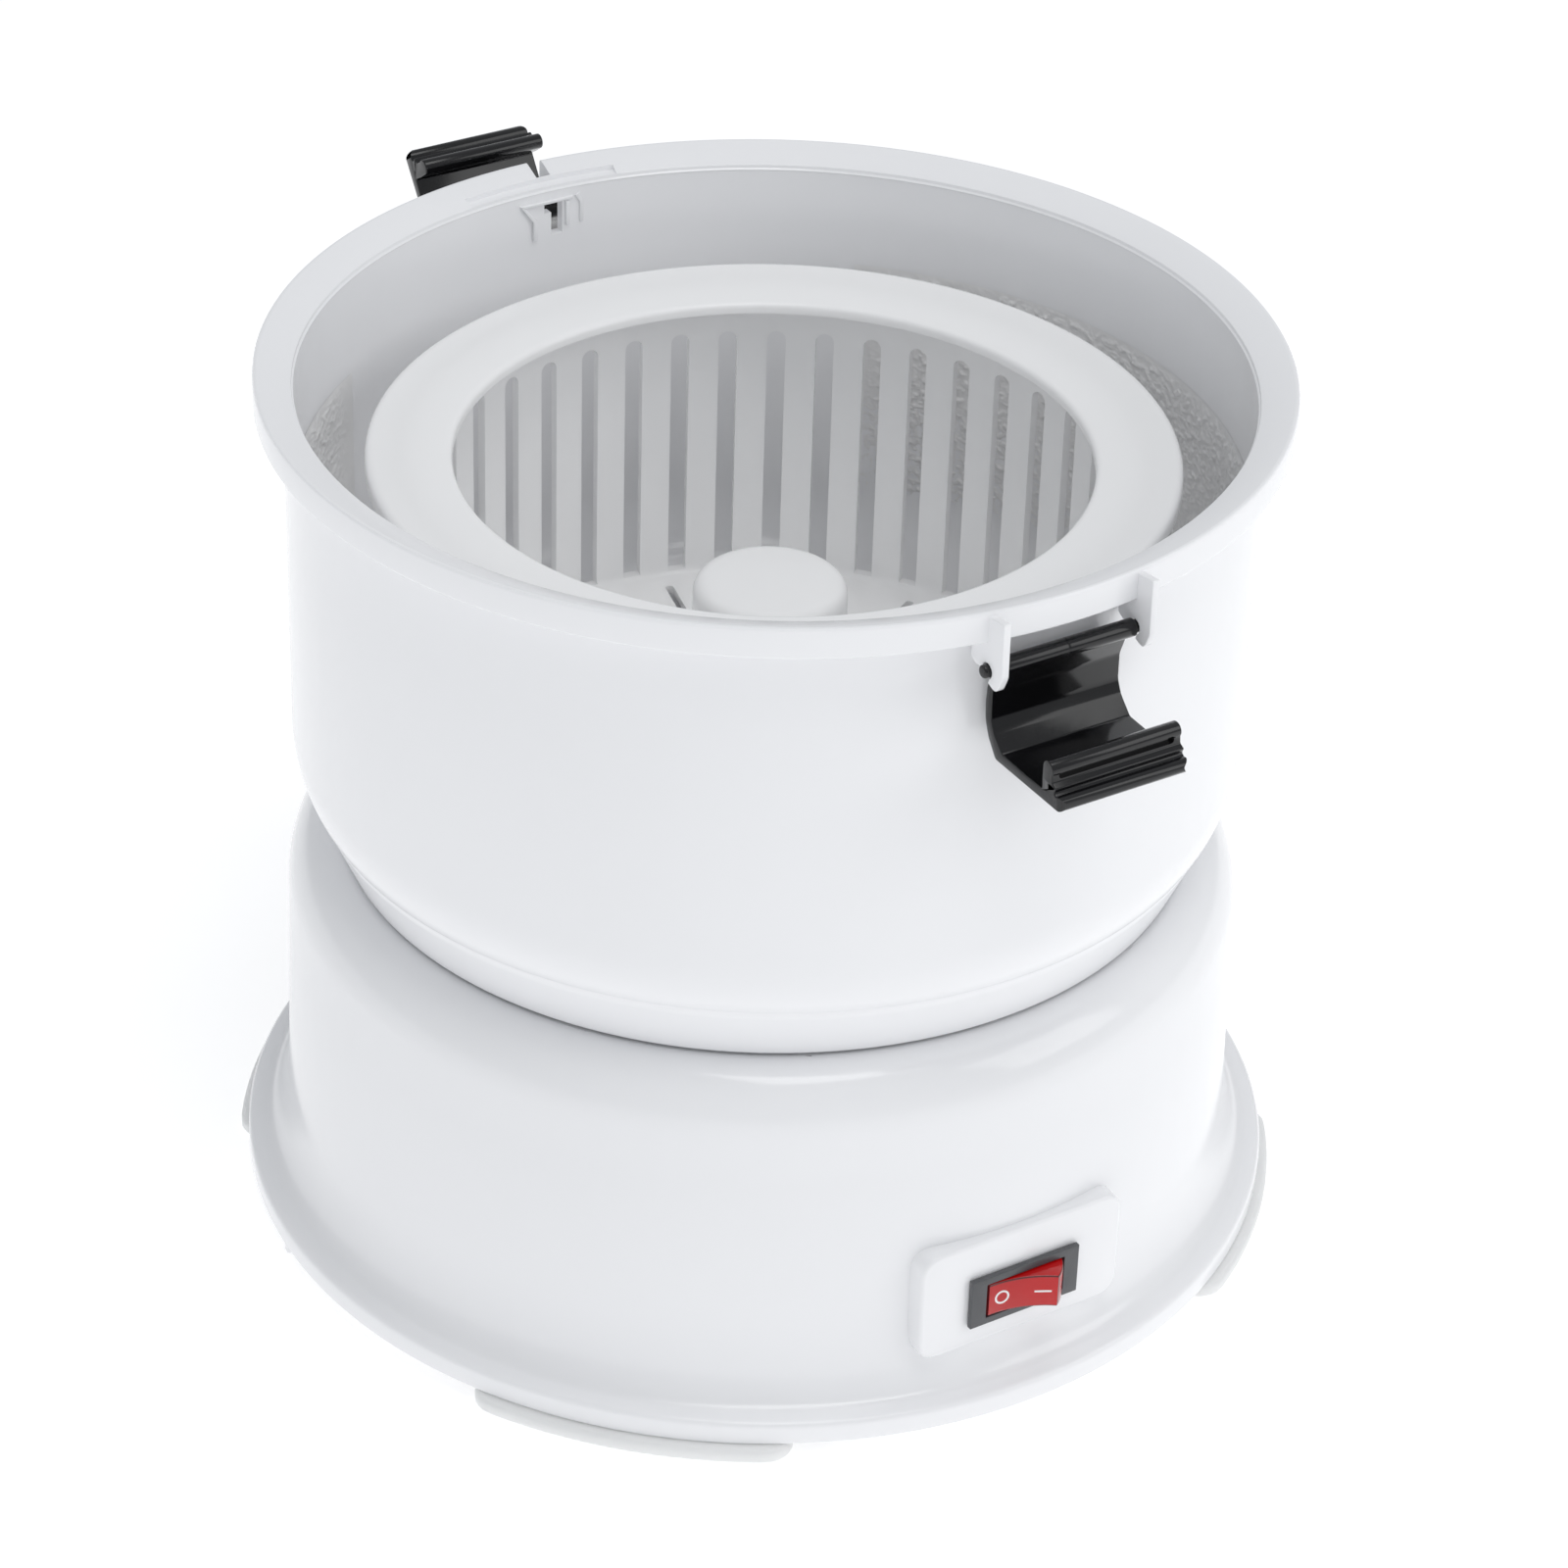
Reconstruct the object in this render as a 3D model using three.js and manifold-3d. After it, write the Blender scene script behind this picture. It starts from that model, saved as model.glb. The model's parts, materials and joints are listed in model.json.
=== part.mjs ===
// An electric salad spinner and potato peeler without its lid: a motor base, a bowl that lifts
// off it, a slotted basket that spins on a spindle in the bowl, and two lid latches on the rim.
// Units are millimetres. +Z is up and is the spin axis, the front (switch and first latch) faces
// -Y, and the origin is the centre of the flat underside of the base plate.
import * as THREE from "three";
import { mergeVertices } from "three/addons/utils/BufferGeometryUtils.js";
import Module from "manifold-3d";

const wasm = await Module();
wasm.setup();

// ---------------------------------------------------------------- driving dimensions
const GAP = 0.3; // between pieces that touch
const RUNNING_GAP = 0.6; // between a turning piece and a fixed one
const ROUND = 40; // segments round the large shells
const SMALL_ROUND = 16; // segments round small parts
const MIDDLE_ROUND = 32; // segments round the pulley, the motor and the bearing tower
const BEND = 3; // segments in a drawn corner

// Base
const BASE_HEIGHT = 97; // joint line between base and bowl
const BASE_RADIUS = 121.7; // side wall, just above the flange
const BASE_TAPER = 1.4; // how much the side leans in towards the shoulder
const SHOULDER_HEIGHT = 16.3;
const FLANGE_OVERHANG = 11.1;
const FLANGE_EDGE = 5.5;
const FLANGE_FILLET = 18.5;
const BASE_WALL = 2.6;
const JOINT_RADIUS = 106.9; // outside of the joint line
const PLATE_THICKNESS = 3;
const DECK_DROP = 2; // deck surface below the joint line
const DECK_THICKNESS = 3;
const LOCATING_RING_HEIGHT = 4.5;
const RING_WALL = 3;
const WELL_RADIUS = 24;
const WELL_DEPTH = 12;

// Feet
const FOOT_DROP = 4.25;
const FOOT_INNER = 121;
const FOOT_OUTER = 135.4;
const FOOT_HALF_ANGLE = 14.8;
const FOOT_ANGLES = [45, 135, 225, 315];

// Switch and its flat pad
const PAD_WIDTH = 58;
const PAD_HEIGHT = 31;
const PAD_MIDDLE = 31; // height of the pad's middle
const PAD_PROUD = 1.7; // flat face beyond the side wall
const PAD_CORNER = 6;
const SWITCH_HEIGHT = 29.3; // middle of the switch
const BEZEL_WIDTH = 31;
const BEZEL_HEIGHT = 14;
const BEZEL_THICKNESS = 1.6;
const CAN_WIDTH = 27;
const CAN_HEIGHT = 12.2;
const CAN_DEPTH = 17;
const ROCKER_SWEEP = 11.75; // radius of the rocker's ends about its pivot
const ROCKER_HALF_FACE = 8.7;
const ROCKER_DIP = 1.4; // how much lower its middle is than its two edges
const ROCKER_HEIGHT = 9.6;
const ROCKER_TILT = 17; // degrees each way from level
const ROCKER_PIVOT_DEPTH = 4.8; // pivot behind the bezel's face

// Bowl, measured up from its own foot
const BOWL_HEIGHT = 127.5;
const BOWL_RADIUS = 118.2;
const BOWL_WALL = 3;
const BOWL_FLOOR = 10.5; // top of the floor
const FOOT_RING_HEIGHT = 7.5;
const RIM_OVERHANG = 6.8;
const RIM_SKIRT = 8;
const RIM_FALL = 3.7; // how far the top band slopes down to its inner edge
const TUBE_TOP = 45;
const TUBE_RADIUS = 13;
const TUBE_BORE = 10.6;

// Basket, measured up from the bowl's foot
const BASKET_RING_TOP = 104.6;
const BASKET_RING_RADIUS = 98.9;
const BASKET_OPENING = 77.8;
const BASKET_RADIUS = 92.4; // outside of the slotted wall
const BASKET_WALL = 2.2;
const BASKET_FLOOR = 17.5;
const SLOT_COUNT = 45;
const SLOT_WIDTH = 4.8;
const SLOT_TOP = 88.8;
const FLOOR_SLOT_COUNT = 8;
const FLOOR_SLOT_WIDTH = 2.2;
const FLOOR_SLOT_TURN = 36; // degrees from the front to the first floor slot
const HUB_RADIUS = 19.2;
const HUB_TOP = 67.5;
const HUB_ROUNDING = 4;
const HUB_BORE = 16.4;

// Drive line
const SPINDLE_RADIUS = 4;
const DRIVER_FLATS = 16; // across the flats of the hexagonal driver
const DRIVER_HEIGHT = 14;
const DOG_FLATS = 15;
const DOG_RADIUS = 14.5;
const BEARING_RADIUS = 11;
const BEARING_HEIGHT = 7;
const PULLEY_RADIUS = 42;
const MOTOR_PULLEY_RADIUS = 7;
const BELT_WIDTH = 7;
const BELT_THICKNESS = 1.8;
const FLANGE_LIP = 2; // pulley flanges above the belt groove
const PULLEY_MIDDLE = 38; // height of the belt's middle above the base plate's underside
const MOTOR_OFFSET = 70; // from the spin axis to the motor axis, towards the back
const MOTOR_RADIUS = 31;
const MOTOR_WALL = 2;
const MOTOR_SHAFT = 2.5;
const ARMATURE_RADIUS = 19;
const MAGNET_THICKNESS = 7.5;
const MOTOR_LENGTH = 36;
const BRACKET_THICKNESS = 2;
const SCREW_RADIUS = 2;
const BOSS_RADIUS = 5;

// Latches, measured from the hinge axis: out is away from the bowl, up is towards the rim
const LATCH_AXIS_OUT = 5.4; // outside the bowl's wall
const LATCH_AXIS_DROP = 14.9; // below the rim
const LATCH_BARREL = 2.2;
const LATCH_PIN = 1.6;
const LATCH_HALF_LENGTH = 18.4;
const LATCH_PLATE_HALF = 17.4;
const EAR_THICKNESS = 1.9;
const EAR_OUT = 4.3; // the ear's outer edge beyond the rim
const REAR_LATCH_ANGLE = 54; // how far the rear latch stands swung out
const KEY_NOTCH_WIDTH = 4; // notch in the rear of the rim

const RIM_RADIUS = BOWL_RADIUS + RIM_OVERHANG;
const BOWL_INNER = BOWL_RADIUS - BOWL_WALL;
const DECK = BASE_HEIGHT - DECK_DROP;
const WELL_FLOOR = DECK - WELL_DEPTH;
const radians = THREE.MathUtils.degToRad;

// ---------------------------------------------------------------- solids
// A three.js geometry as a manifold-3d solid, with its faces pointing out.
function solidOf(geometry) {
  const bare = geometry.clone();
  bare.deleteAttribute("normal");
  bare.deleteAttribute("uv");
  const merged = mergeVertices(bare, 1e-4);
  const index = [];
  for (let i = 0; i < merged.index.count; i += 3) {
    const [a, b, c] = [0, 1, 2].map((k) => merged.index.getX(i + k));
    if (a !== b && b !== c && c !== a) index.push(a, b, c);
  }
  if (signedVolume(merged.attributes.position, index) < 0) index.reverse();
  return new wasm.Manifold(
    new wasm.Mesh({
      numProp: 3,
      vertProperties: merged.attributes.position.array,
      triVerts: new Uint32Array(index),
    }),
  );
}

function signedVolume(position, index) {
  const corner = index.map((i) => new THREE.Vector3().fromBufferAttribute(position, i));
  let volume = 0;
  for (let i = 0; i < corner.length; i += 3) {
    volume += corner[i].dot(corner[i + 1].clone().cross(corner[i + 2]));
  }
  return volume;
}

function geometryOf(solid) {
  const mesh = solid.getMesh();
  const geometry = new THREE.BufferGeometry();
  geometry.setAttribute("position", new THREE.BufferAttribute(mesh.vertProperties, 3));
  geometry.setIndex(new THREE.BufferAttribute(mesh.triVerts, 1));
  const faceted = geometry.toNonIndexed();
  faceted.computeVertexNormals();
  return faceted;
}

const join = (first, ...others) => others.reduce((sum, next) => sum.add(next), first);
const cut = (first, ...others) => others.reduce((rest, next) => rest.subtract(next), first);

// ---------------------------------------------------------------- shapes
// A profile of [radius, height] points turned round the Z axis. It closes on itself.
function turned(profile, segments = ROUND) {
  const points = profile.map(([radius, height]) => new THREE.Vector2(radius, height));
  points.push(points[0].clone());
  return solidOf(new THREE.LatheGeometry(points, segments).rotateX(Math.PI / 2));
}

// A plain disc or, with an inner radius, a ring.
function ring(outer, inner, low, high, segments = SMALL_ROUND) {
  const profile = [[inner, low], [outer, low], [outer, high], [inner, high]];
  return turned(profile, segments);
}

// A quarter-turn corner between two points, bulging towards the corner point.
function corner(from, towards, to, steps = BEND) {
  const points = [];
  for (let i = 0; i <= steps; i += 1) {
    const angle = (i / steps) * (Math.PI / 2);
    const [along, across] = [Math.sin(angle), 1 - Math.cos(angle)];
    points.push([
      from[0] + (towards[0] - from[0]) * along + (to[0] - towards[0]) * across,
      from[1] + (towards[1] - from[1]) * along + (to[1] - towards[1]) * across,
    ]);
  }
  return points;
}

// A closed outline of [x, y] points as a plate from height low to height high.
function plate(outline, low, high, holes = []) {
  const shape = new THREE.Shape(outline.map(([x, y]) => new THREE.Vector2(x, y)));
  for (const hole of holes) {
    shape.holes.push(new THREE.Path(hole.map(([x, y]) => new THREE.Vector2(x, y))));
  }
  const geometry = new THREE.ExtrudeGeometry(shape, { depth: high - low, bevelEnabled: false });
  return solidOf(geometry.translate(0, 0, low));
}

function arc(centreX, centreY, radius, fromDegrees, toDegrees, steps) {
  const points = [];
  for (let i = 0; i <= steps; i += 1) {
    const angle = radians(fromDegrees + ((toDegrees - fromDegrees) * i) / steps);
    points.push([centreX + radius * Math.cos(angle), centreY + radius * Math.sin(angle)]);
  }
  return points;
}

function circle(centreX, centreY, radius, steps = SMALL_ROUND) {
  return arc(centreX, centreY, radius, 0, 360, steps).slice(0, -1);
}

function roundedRectangle(width, height, radius, steps = BEND) {
  const [x, y] = [width / 2 - radius, height / 2 - radius];
  return [
    ...arc(x, y, radius, 0, 90, steps),
    ...arc(-x, y, radius, 90, 180, steps),
    ...arc(-x, -y, radius, 180, 270, steps),
    ...arc(x, -y, radius, 270, 360, steps),
  ];
}

function hexagon(acrossFlats) {
  return circle(0, 0, acrossFlats / Math.sqrt(3), 6);
}

function box(width, depth, height, x, y, z) {
  return solidOf(new THREE.BoxGeometry(width, depth, height).translate(x, y, z));
}

// An outline drawn in (out, up) and drawn out evenly to both sides along the third direction,
// which runs along the wall. Facing the front, out is -Y and up is +Z.
function facingFront(outline, halfLength, holes = []) {
  const solid = plate(outline, -halfLength, halfLength, holes);
  return solid.transform(frontMatrix().elements);
}

function frontMatrix() {
  const out = new THREE.Vector3(0, -1, 0);
  const up = new THREE.Vector3(0, 0, 1);
  return new THREE.Matrix4().makeBasis(out, up, out.clone().cross(up));
}

// A solid modelled at the front, turned to another angle round the spin axis.
const turnedTo = (solid, degrees) => solid.rotate([0, 0, degrees]);
const radially = (radius, degrees) => [
  radius * Math.sin(radians(degrees)),
  -radius * Math.cos(radians(degrees)),
];

// ---------------------------------------------------------------- materials and the scene
const PLASTIC = { roughness: 0.32, metalness: 0 };
const METAL = { roughness: 0.35, metalness: 0.9 };
const finishes = {
  whiteShell: { color: 0xe9ebee, ...PLASTIC },
  whiteBasket: { color: 0xdfe1e4, roughness: 0.4, metalness: 0 },
  blackGloss: { color: 0x141516, roughness: 0.2, metalness: 0 },
  charcoal: { color: 0x3b3e42, roughness: 0.45, metalness: 0 },
  redClear: { color: 0xb3161c, roughness: 0.2, metalness: 0 },
  silicone: { color: 0xd5d8d6, roughness: 0.55, metalness: 0 },
  blackRubber: { color: 0x1d1d1e, roughness: 0.8, metalness: 0 },
  nylon: { color: 0xd9d6cc, roughness: 0.5, metalness: 0 },
  steel: { color: 0xb9bcc0, ...METAL },
  zincPlate: { color: 0xc6c9cc, ...METAL },
  bronze: { color: 0xa87a45, ...METAL },
  magnet: { color: 0x4a4b4d, roughness: 0.6, metalness: 0.3 },
  copper: { color: 0xb4693c, ...METAL },
};

const model = new THREE.Group();

function add(name, solid, finish, group = model) {
  const mesh = new THREE.Mesh(geometryOf(solid), new THREE.MeshStandardMaterial(finish));
  mesh.name = name;
  group.add(mesh);
  return mesh;
}

// ---------------------------------------------------------------- base
const BASE_SCREW_ANGLES = [30, 150, 210, 330];
const BASE_SCREW_CIRCLE = 104;
const BRACKET_HOLES = [[-40, MOTOR_OFFSET - 8], [40, MOTOR_OFFSET - 8], [0, MOTOR_OFFSET + 38]];
const TOWER_SCREW_CIRCLE = 19.6;
const TOWER_SCREW_ANGLES = [60, 180, 300];
const GLAND_HEIGHT = 36;
const GLAND_BODY = 6;
const SHOULDER_BOTTOM = BASE_HEIGHT - SHOULDER_HEIGHT;
const DECK_UNDERSIDE = DECK - DECK_THICKNESS;
const PLATE_TOP = PLATE_THICKNESS + GAP;
const FLANGE_RADIUS = BASE_RADIUS + FLANGE_OVERHANG;
const SIDE_INNER = BASE_RADIUS - BASE_WALL;
const BRACKET_TOP = PULLEY_MIDDLE + BELT_WIDTH / 2 + FLANGE_LIP + 2 + BRACKET_THICKNESS;

function housingShell() {
  const sideTop = BASE_RADIUS - BASE_TAPER;
  const flangeTop = FLANGE_EDGE + 1;
  const ledge = BASE_HEIGHT - GAP;
  const ringOuter = JOINT_RADIUS - RING_WALL - RUNNING_GAP;
  const ringTop = BASE_HEIGHT + LOCATING_RING_HEIGHT;
  const wellOuter = WELL_RADIUS + DECK_THICKNESS;
  return turned([
    [FLANGE_RADIUS, 0],
    [FLANGE_RADIUS, FLANGE_EDGE],
    ...corner([FLANGE_RADIUS - 1, flangeTop], [BASE_RADIUS, flangeTop],
      [BASE_RADIUS, flangeTop + FLANGE_FILLET]),
    ...corner([sideTop, SHOULDER_BOTTOM], [sideTop, ledge], [JOINT_RADIUS, ledge], 4),
    [ringOuter, ledge],
    [ringOuter, ringTop],
    [ringOuter - RING_WALL, ringTop],
    [ringOuter - RING_WALL, DECK],
    [WELL_RADIUS, DECK],
    [WELL_RADIUS, WELL_FLOOR],
    [SPINDLE_RADIUS * 2, WELL_FLOOR],
    [SPINDLE_RADIUS * 2, WELL_FLOOR - DECK_THICKNESS],
    [wellOuter, WELL_FLOOR - DECK_THICKNESS],
    [wellOuter, DECK_UNDERSIDE],
    ...corner([sideTop - BASE_WALL, SHOULDER_BOTTOM], [sideTop - BASE_WALL, DECK_UNDERSIDE],
      [JOINT_RADIUS - RING_WALL, DECK_UNDERSIDE], 3).reverse(),
    [SIDE_INNER, flangeTop + FLANGE_FILLET],
    [SIDE_INNER, 0],
    [BASE_RADIUS, 0],
    [BASE_RADIUS, flangeTop + FLANGE_FILLET / 3],
    [FLANGE_RADIUS - BASE_WALL, FLANGE_EDGE - 2],
    [FLANGE_RADIUS - BASE_WALL, 0],
  ]);
}

// The flat pad round the switch stands out of the round side and keeps its wall behind it.
function switchPad() {
  const outline = roundedRectangle(PAD_WIDTH, PAD_HEIGHT, PAD_CORNER);
  const depth = BASE_RADIUS - Math.sqrt(BASE_RADIUS ** 2 - (PAD_WIDTH / 2) ** 2) + BASE_WALL;
  const pad = plate(outline, BASE_RADIUS - depth, BASE_RADIUS + PAD_PROUD);
  const hollow = turned([
    [1, 0], [SIDE_INNER, 0], [SIDE_INNER, BASE_HEIGHT / 2], [1, BASE_HEIGHT / 2],
  ]);
  const upright = new THREE.Matrix4()
    .makeBasis(new THREE.Vector3(1, 0, 0), new THREE.Vector3(0, 0, 1), new THREE.Vector3(0, -1, 0))
    .setPosition(0, 0, PAD_MIDDLE);
  return cut(pad.transform(upright.elements), hollow);
}

function bossAt([x, y], low, hole) {
  const top = DECK_UNDERSIDE + 1;
  const boss = plate(circle(x, y, BOSS_RADIUS, 12), low, top);
  return cut(boss, plate(circle(x, y, hole, 8), low - 1, low + 16));
}

function glandHole() {
  const bore = plate(circle(0, 0, GLAND_BODY + GAP), SIDE_INNER - 12, FLANGE_RADIUS + 1);
  return bore.rotate([-90, 0, 0]).translate([0, 0, GLAND_HEIGHT]);
}

function baseHousing() {
  const thread = SCREW_RADIUS + GAP;
  const plateBosses = BASE_SCREW_ANGLES.map((angle) =>
    bossAt(radially(BASE_SCREW_CIRCLE, angle), PLATE_TOP, thread));
  const motorBosses = BRACKET_HOLES.map((place) => bossAt(place, BRACKET_TOP + GAP, thread));
  const solid = join(housingShell(), switchPad(), ...plateBosses, ...motorBosses);
  const canHole = box(CAN_WIDTH + 2 * GAP, 2 * CAN_DEPTH, CAN_HEIGHT + 2 * GAP,
    0, -BASE_RADIUS, SWITCH_HEIGHT);
  const towerHoles = TOWER_SCREW_ANGLES.map((angle) => {
    const [x, y] = radially(TOWER_SCREW_CIRCLE, angle);
    return plate(circle(x, y, thread, 12), WELL_FLOOR - DECK_THICKNESS - 1, WELL_FLOOR + 1);
  });
  return cut(solid, canHole, glandHole(), ...towerHoles);
}

function basePlate() {
  const outer = SIDE_INNER - GAP;
  const disc = turned([[0, 0], [outer, 0], [outer, PLATE_THICKNESS], [0, PLATE_THICKNESS]]);
  const holes = BASE_SCREW_ANGLES.map((angle) => {
    const [x, y] = radially(BASE_SCREW_CIRCLE, angle);
    return plate(circle(x, y, SCREW_RADIUS + GAP, 12), -1, PLATE_THICKNESS + 1);
  });
  const vents = [];
  for (const side of [-1, 1]) {
    for (let row = -1; row <= 1; row += 1) {
      vents.push(box(36, 3, 3 * PLATE_THICKNESS, side * 30, MOTOR_OFFSET + row * 9, 0));
    }
  }
  return cut(disc, ...holes, ...vents);
}

function foot() {
  const pad = [
    ...arc(0, 0, FOOT_OUTER, -90 - FOOT_HALF_ANGLE, -90 + FOOT_HALF_ANGLE, 5),
    ...arc(0, 0, FOOT_INNER, -90 + FOOT_HALF_ANGLE, -90 - FOOT_HALF_ANGLE, 5),
  ];
  const plugHalf = FOOT_HALF_ANGLE - 3;
  const plug = [
    ...arc(0, 0, FLANGE_RADIUS - BASE_WALL - 1, -90 - plugHalf, -90 + plugHalf, 3),
    ...arc(0, 0, BASE_RADIUS + 1, -90 + plugHalf, -90 - plugHalf, 3),
  ];
  const ends = [-FOOT_HALF_ANGLE, FOOT_HALF_ANGLE].map((angle) => {
    const [x, y] = radially((FOOT_INNER + FOOT_OUTER) / 2, angle);
    return plate(circle(x, y, (FOOT_OUTER - FOOT_INNER) / 2), -FOOT_DROP, -GAP);
  });
  return join(plate(pad, -FOOT_DROP, -GAP), plate(plug, -1, 2), ...ends);
}

// A pan-head screw pointing up, its head's bearing face at height zero.
function screw(length) {
  const head = 1.9 * SCREW_RADIUS;
  return turned([
    [0, -SCREW_RADIUS], [head, -SCREW_RADIUS], [head, 0], [SCREW_RADIUS, 0],
    [SCREW_RADIUS, length], [0, length],
  ], 12);
}

// ---------------------------------------------------------------- switch
const BEZEL_BACK = BASE_RADIUS + PAD_PROUD + GAP;
const BEZEL_FACE = BEZEL_BACK + BEZEL_THICKNESS;
const ROCKER_PIVOT = BEZEL_FACE - ROCKER_PIVOT_DEPTH;

function switchHousing() {
  const middle = BEZEL_BACK + BEZEL_THICKNESS / 2;
  const bezel = box(BEZEL_WIDTH, BEZEL_THICKNESS, BEZEL_HEIGHT, 0, -middle, 0);
  const can = box(CAN_WIDTH, CAN_DEPTH, CAN_HEIGHT, 0, -(BEZEL_BACK - CAN_DEPTH / 2 + 0.1), 0);
  const tabLength = 8;
  const tabs = [-8, 0, 8].map((x) =>
    box(0.9, tabLength, 4.8, x, -(BEZEL_BACK - CAN_DEPTH - tabLength / 2 + 1), 0));
  const openingHeight = ROCKER_HEIGHT + 2 * GAP;
  const opening = box(2 * ROCKER_SWEEP, 4 * BEZEL_THICKNESS, openingHeight, 0, -BEZEL_FACE, 0);
  const pocketDepth = ROCKER_SWEEP + 1;
  const pocket = box(2 * (ROCKER_SWEEP + GAP * 2), pocketDepth, openingHeight,
    0, -(BEZEL_BACK - pocketDepth / 2), 0);
  return cut(join(bezel, can, ...tabs), opening, pocket);
}

// The rocker about its own upright pivot, level: x runs along the wall and y points outwards.
function switchRocker() {
  const edge = Math.sqrt(ROCKER_SWEEP ** 2 - ROCKER_HALF_FACE ** 2);
  const edgeAngle = THREE.MathUtils.radToDeg(Math.atan2(edge, ROCKER_HALF_FACE));
  const outline = [
    ...arc(0, 0, ROCKER_SWEEP, -8, edgeAngle, 6),
    [0, edge - ROCKER_DIP],
    ...arc(0, 0, ROCKER_SWEEP, 180 - edgeAngle, 188, 6),
    [0, -ROCKER_SWEEP / 3],
  ];
  return plate(outline, -ROCKER_HEIGHT / 2, ROCKER_HEIGHT / 2).rotate([0, 0, 180]);
}

function cordGland() {
  const wall = 2.4;
  const outside = BASE_RADIUS + GAP;
  return turned([
    [GLAND_BODY - wall, SIDE_INNER - 6],
    [GLAND_BODY, SIDE_INNER - 6],
    [GLAND_BODY, outside],
    [GLAND_BODY + wall, outside],
    [GLAND_BODY + wall, outside + 2],
    [GLAND_BODY - wall, outside + 2],
  ], SMALL_ROUND).rotate([-90, 0, 0]).translate([0, 0, GLAND_HEIGHT]);
}

// ---------------------------------------------------------------- drive line in the base
const BEARING_TOP = WELL_FLOOR - DECK_THICKNESS - 3.6;
const LOWER_BEARING_TOP = BEARING_TOP - 21;
const TOWER_BOTTOM = LOWER_BEARING_TOP - BEARING_HEIGHT - 1;
const TOWER_RADIUS = BEARING_RADIUS + 3.4;
const TOWER_FLANGE = WELL_RADIUS + 1;
const DOG_BASE = WELL_FLOOR + 2;
const DOG_DISC = 3;
const DOG_TOP = BASE_HEIGHT + 1.2;
const SHAFT_BOTTOM = PULLEY_MIDDLE - 8;
const GROOVE = BELT_WIDTH + 2 * RUNNING_GAP;

function bearingTower() {
  const top = WELL_FLOOR - DECK_THICKNESS - GAP;
  const tower = turned([
    [BEARING_RADIUS + GAP, TOWER_BOTTOM], [TOWER_RADIUS, TOWER_BOTTOM], [TOWER_RADIUS, top - 3],
    [TOWER_FLANGE, top - 3], [TOWER_FLANGE, top], [SPINDLE_RADIUS * 2, top],
    [SPINDLE_RADIUS * 2, BEARING_TOP + GAP], [BEARING_RADIUS + GAP, BEARING_TOP + GAP],
  ], MIDDLE_ROUND);
  const holes = TOWER_SCREW_ANGLES.map((angle) => {
    const [x, y] = radially(TOWER_SCREW_CIRCLE, angle);
    return plate(circle(x, y, SCREW_RADIUS + GAP, 12), top - 5, top + 1);
  });
  return cut(tower, ...holes);
}

const bearing = (top) =>
  ring(BEARING_RADIUS, SPINDLE_RADIUS + GAP, top - BEARING_HEIGHT, top);

// A pulley with a flat belt groove between two flanges.
function pulley(radius, bore, segments) {
  const half = GROOVE / 2;
  const lip = radius + FLANGE_LIP;
  return turned([
    [bore, -half - 1.2], [lip, -half - 1.2], [lip, -half], [radius, -half],
    [radius, half], [lip, half], [lip, half + 1.2], [bore, half + 1.2],
  ], segments).translate([0, 0, PULLEY_MIDDLE]);
}

function driveBelt() {
  const path = (clearance) => {
    const large = PULLEY_RADIUS + clearance;
    const small = MOTOR_PULLEY_RADIUS + clearance;
    const lean = THREE.MathUtils.radToDeg(Math.asin((large - small) / MOTOR_OFFSET));
    return [
      ...arc(0, 0, large, 180 - lean, 360 + lean, 20),
      ...arc(0, MOTOR_OFFSET, small, lean, 180 - lean, 6),
    ];
  };
  const low = PULLEY_MIDDLE - BELT_WIDTH / 2;
  return plate(path(GAP + BELT_THICKNESS), low, low + BELT_WIDTH, [path(GAP).reverse()]);
}

const outputShaft = () => turned([
  [0, SHAFT_BOTTOM], [SPINDLE_RADIUS, SHAFT_BOTTOM], [SPINDLE_RADIUS, DOG_TOP - 3], [0, DOG_TOP - 3],
], SMALL_ROUND);

function driveDog() {
  const disc = plate(circle(0, 0, DOG_RADIUS, MIDDLE_ROUND), DOG_BASE, DOG_BASE + DOG_DISC);
  const post = plate(hexagon(DOG_FLATS), DOG_BASE + 1, DOG_TOP);
  const bore = plate(circle(0, 0, SPINDLE_RADIUS + GAP), DOG_BASE - 1, DOG_TOP - 3 + GAP);
  return cut(join(disc, post), bore);
}

const retainingRing = () => ring(SPINDLE_RADIUS + 3, SPINDLE_RADIUS + GAP,
  SHAFT_BOTTOM + 0.6, SHAFT_BOTTOM + 1.6);

// ---------------------------------------------------------------- motor, about its own axis
const CAN_BOTTOM = BRACKET_TOP + GAP;
const CAN_TOP = CAN_BOTTOM + MOTOR_LENGTH;
const CAP_HEIGHT = 4;

function motorBracket() {
  const thick = [BRACKET_TOP - BRACKET_THICKNESS, BRACKET_TOP];
  const ears = BRACKET_HOLES.map(([x, y]) => plate(circle(x, y, 6.5), ...thick));
  const middle = plate(circle(0, MOTOR_OFFSET, MOTOR_RADIUS + 2, MIDDLE_ROUND), ...thick);
  const arms = BRACKET_HOLES.map(([x, y]) => {
    const angle = Math.atan2(y - MOTOR_OFFSET, x);
    return plate([[0, -6.5], [36, -6.5], [36, 6.5], [0, 6.5]], ...thick)
      .rotate([0, 0, THREE.MathUtils.radToDeg(angle)]).translate([0, MOTOR_OFFSET, 0]);
  });
  const holes = BRACKET_HOLES.map(([x, y]) =>
    plate(circle(x, y, SCREW_RADIUS + GAP, 12), thick[0] - 1, thick[1] + 1));
  const bore = plate(circle(0, MOTOR_OFFSET, 11), thick[0] - 1, thick[1] + 1);
  return cut(join(middle, ...ears, ...arms), ...holes, bore);
}

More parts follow.
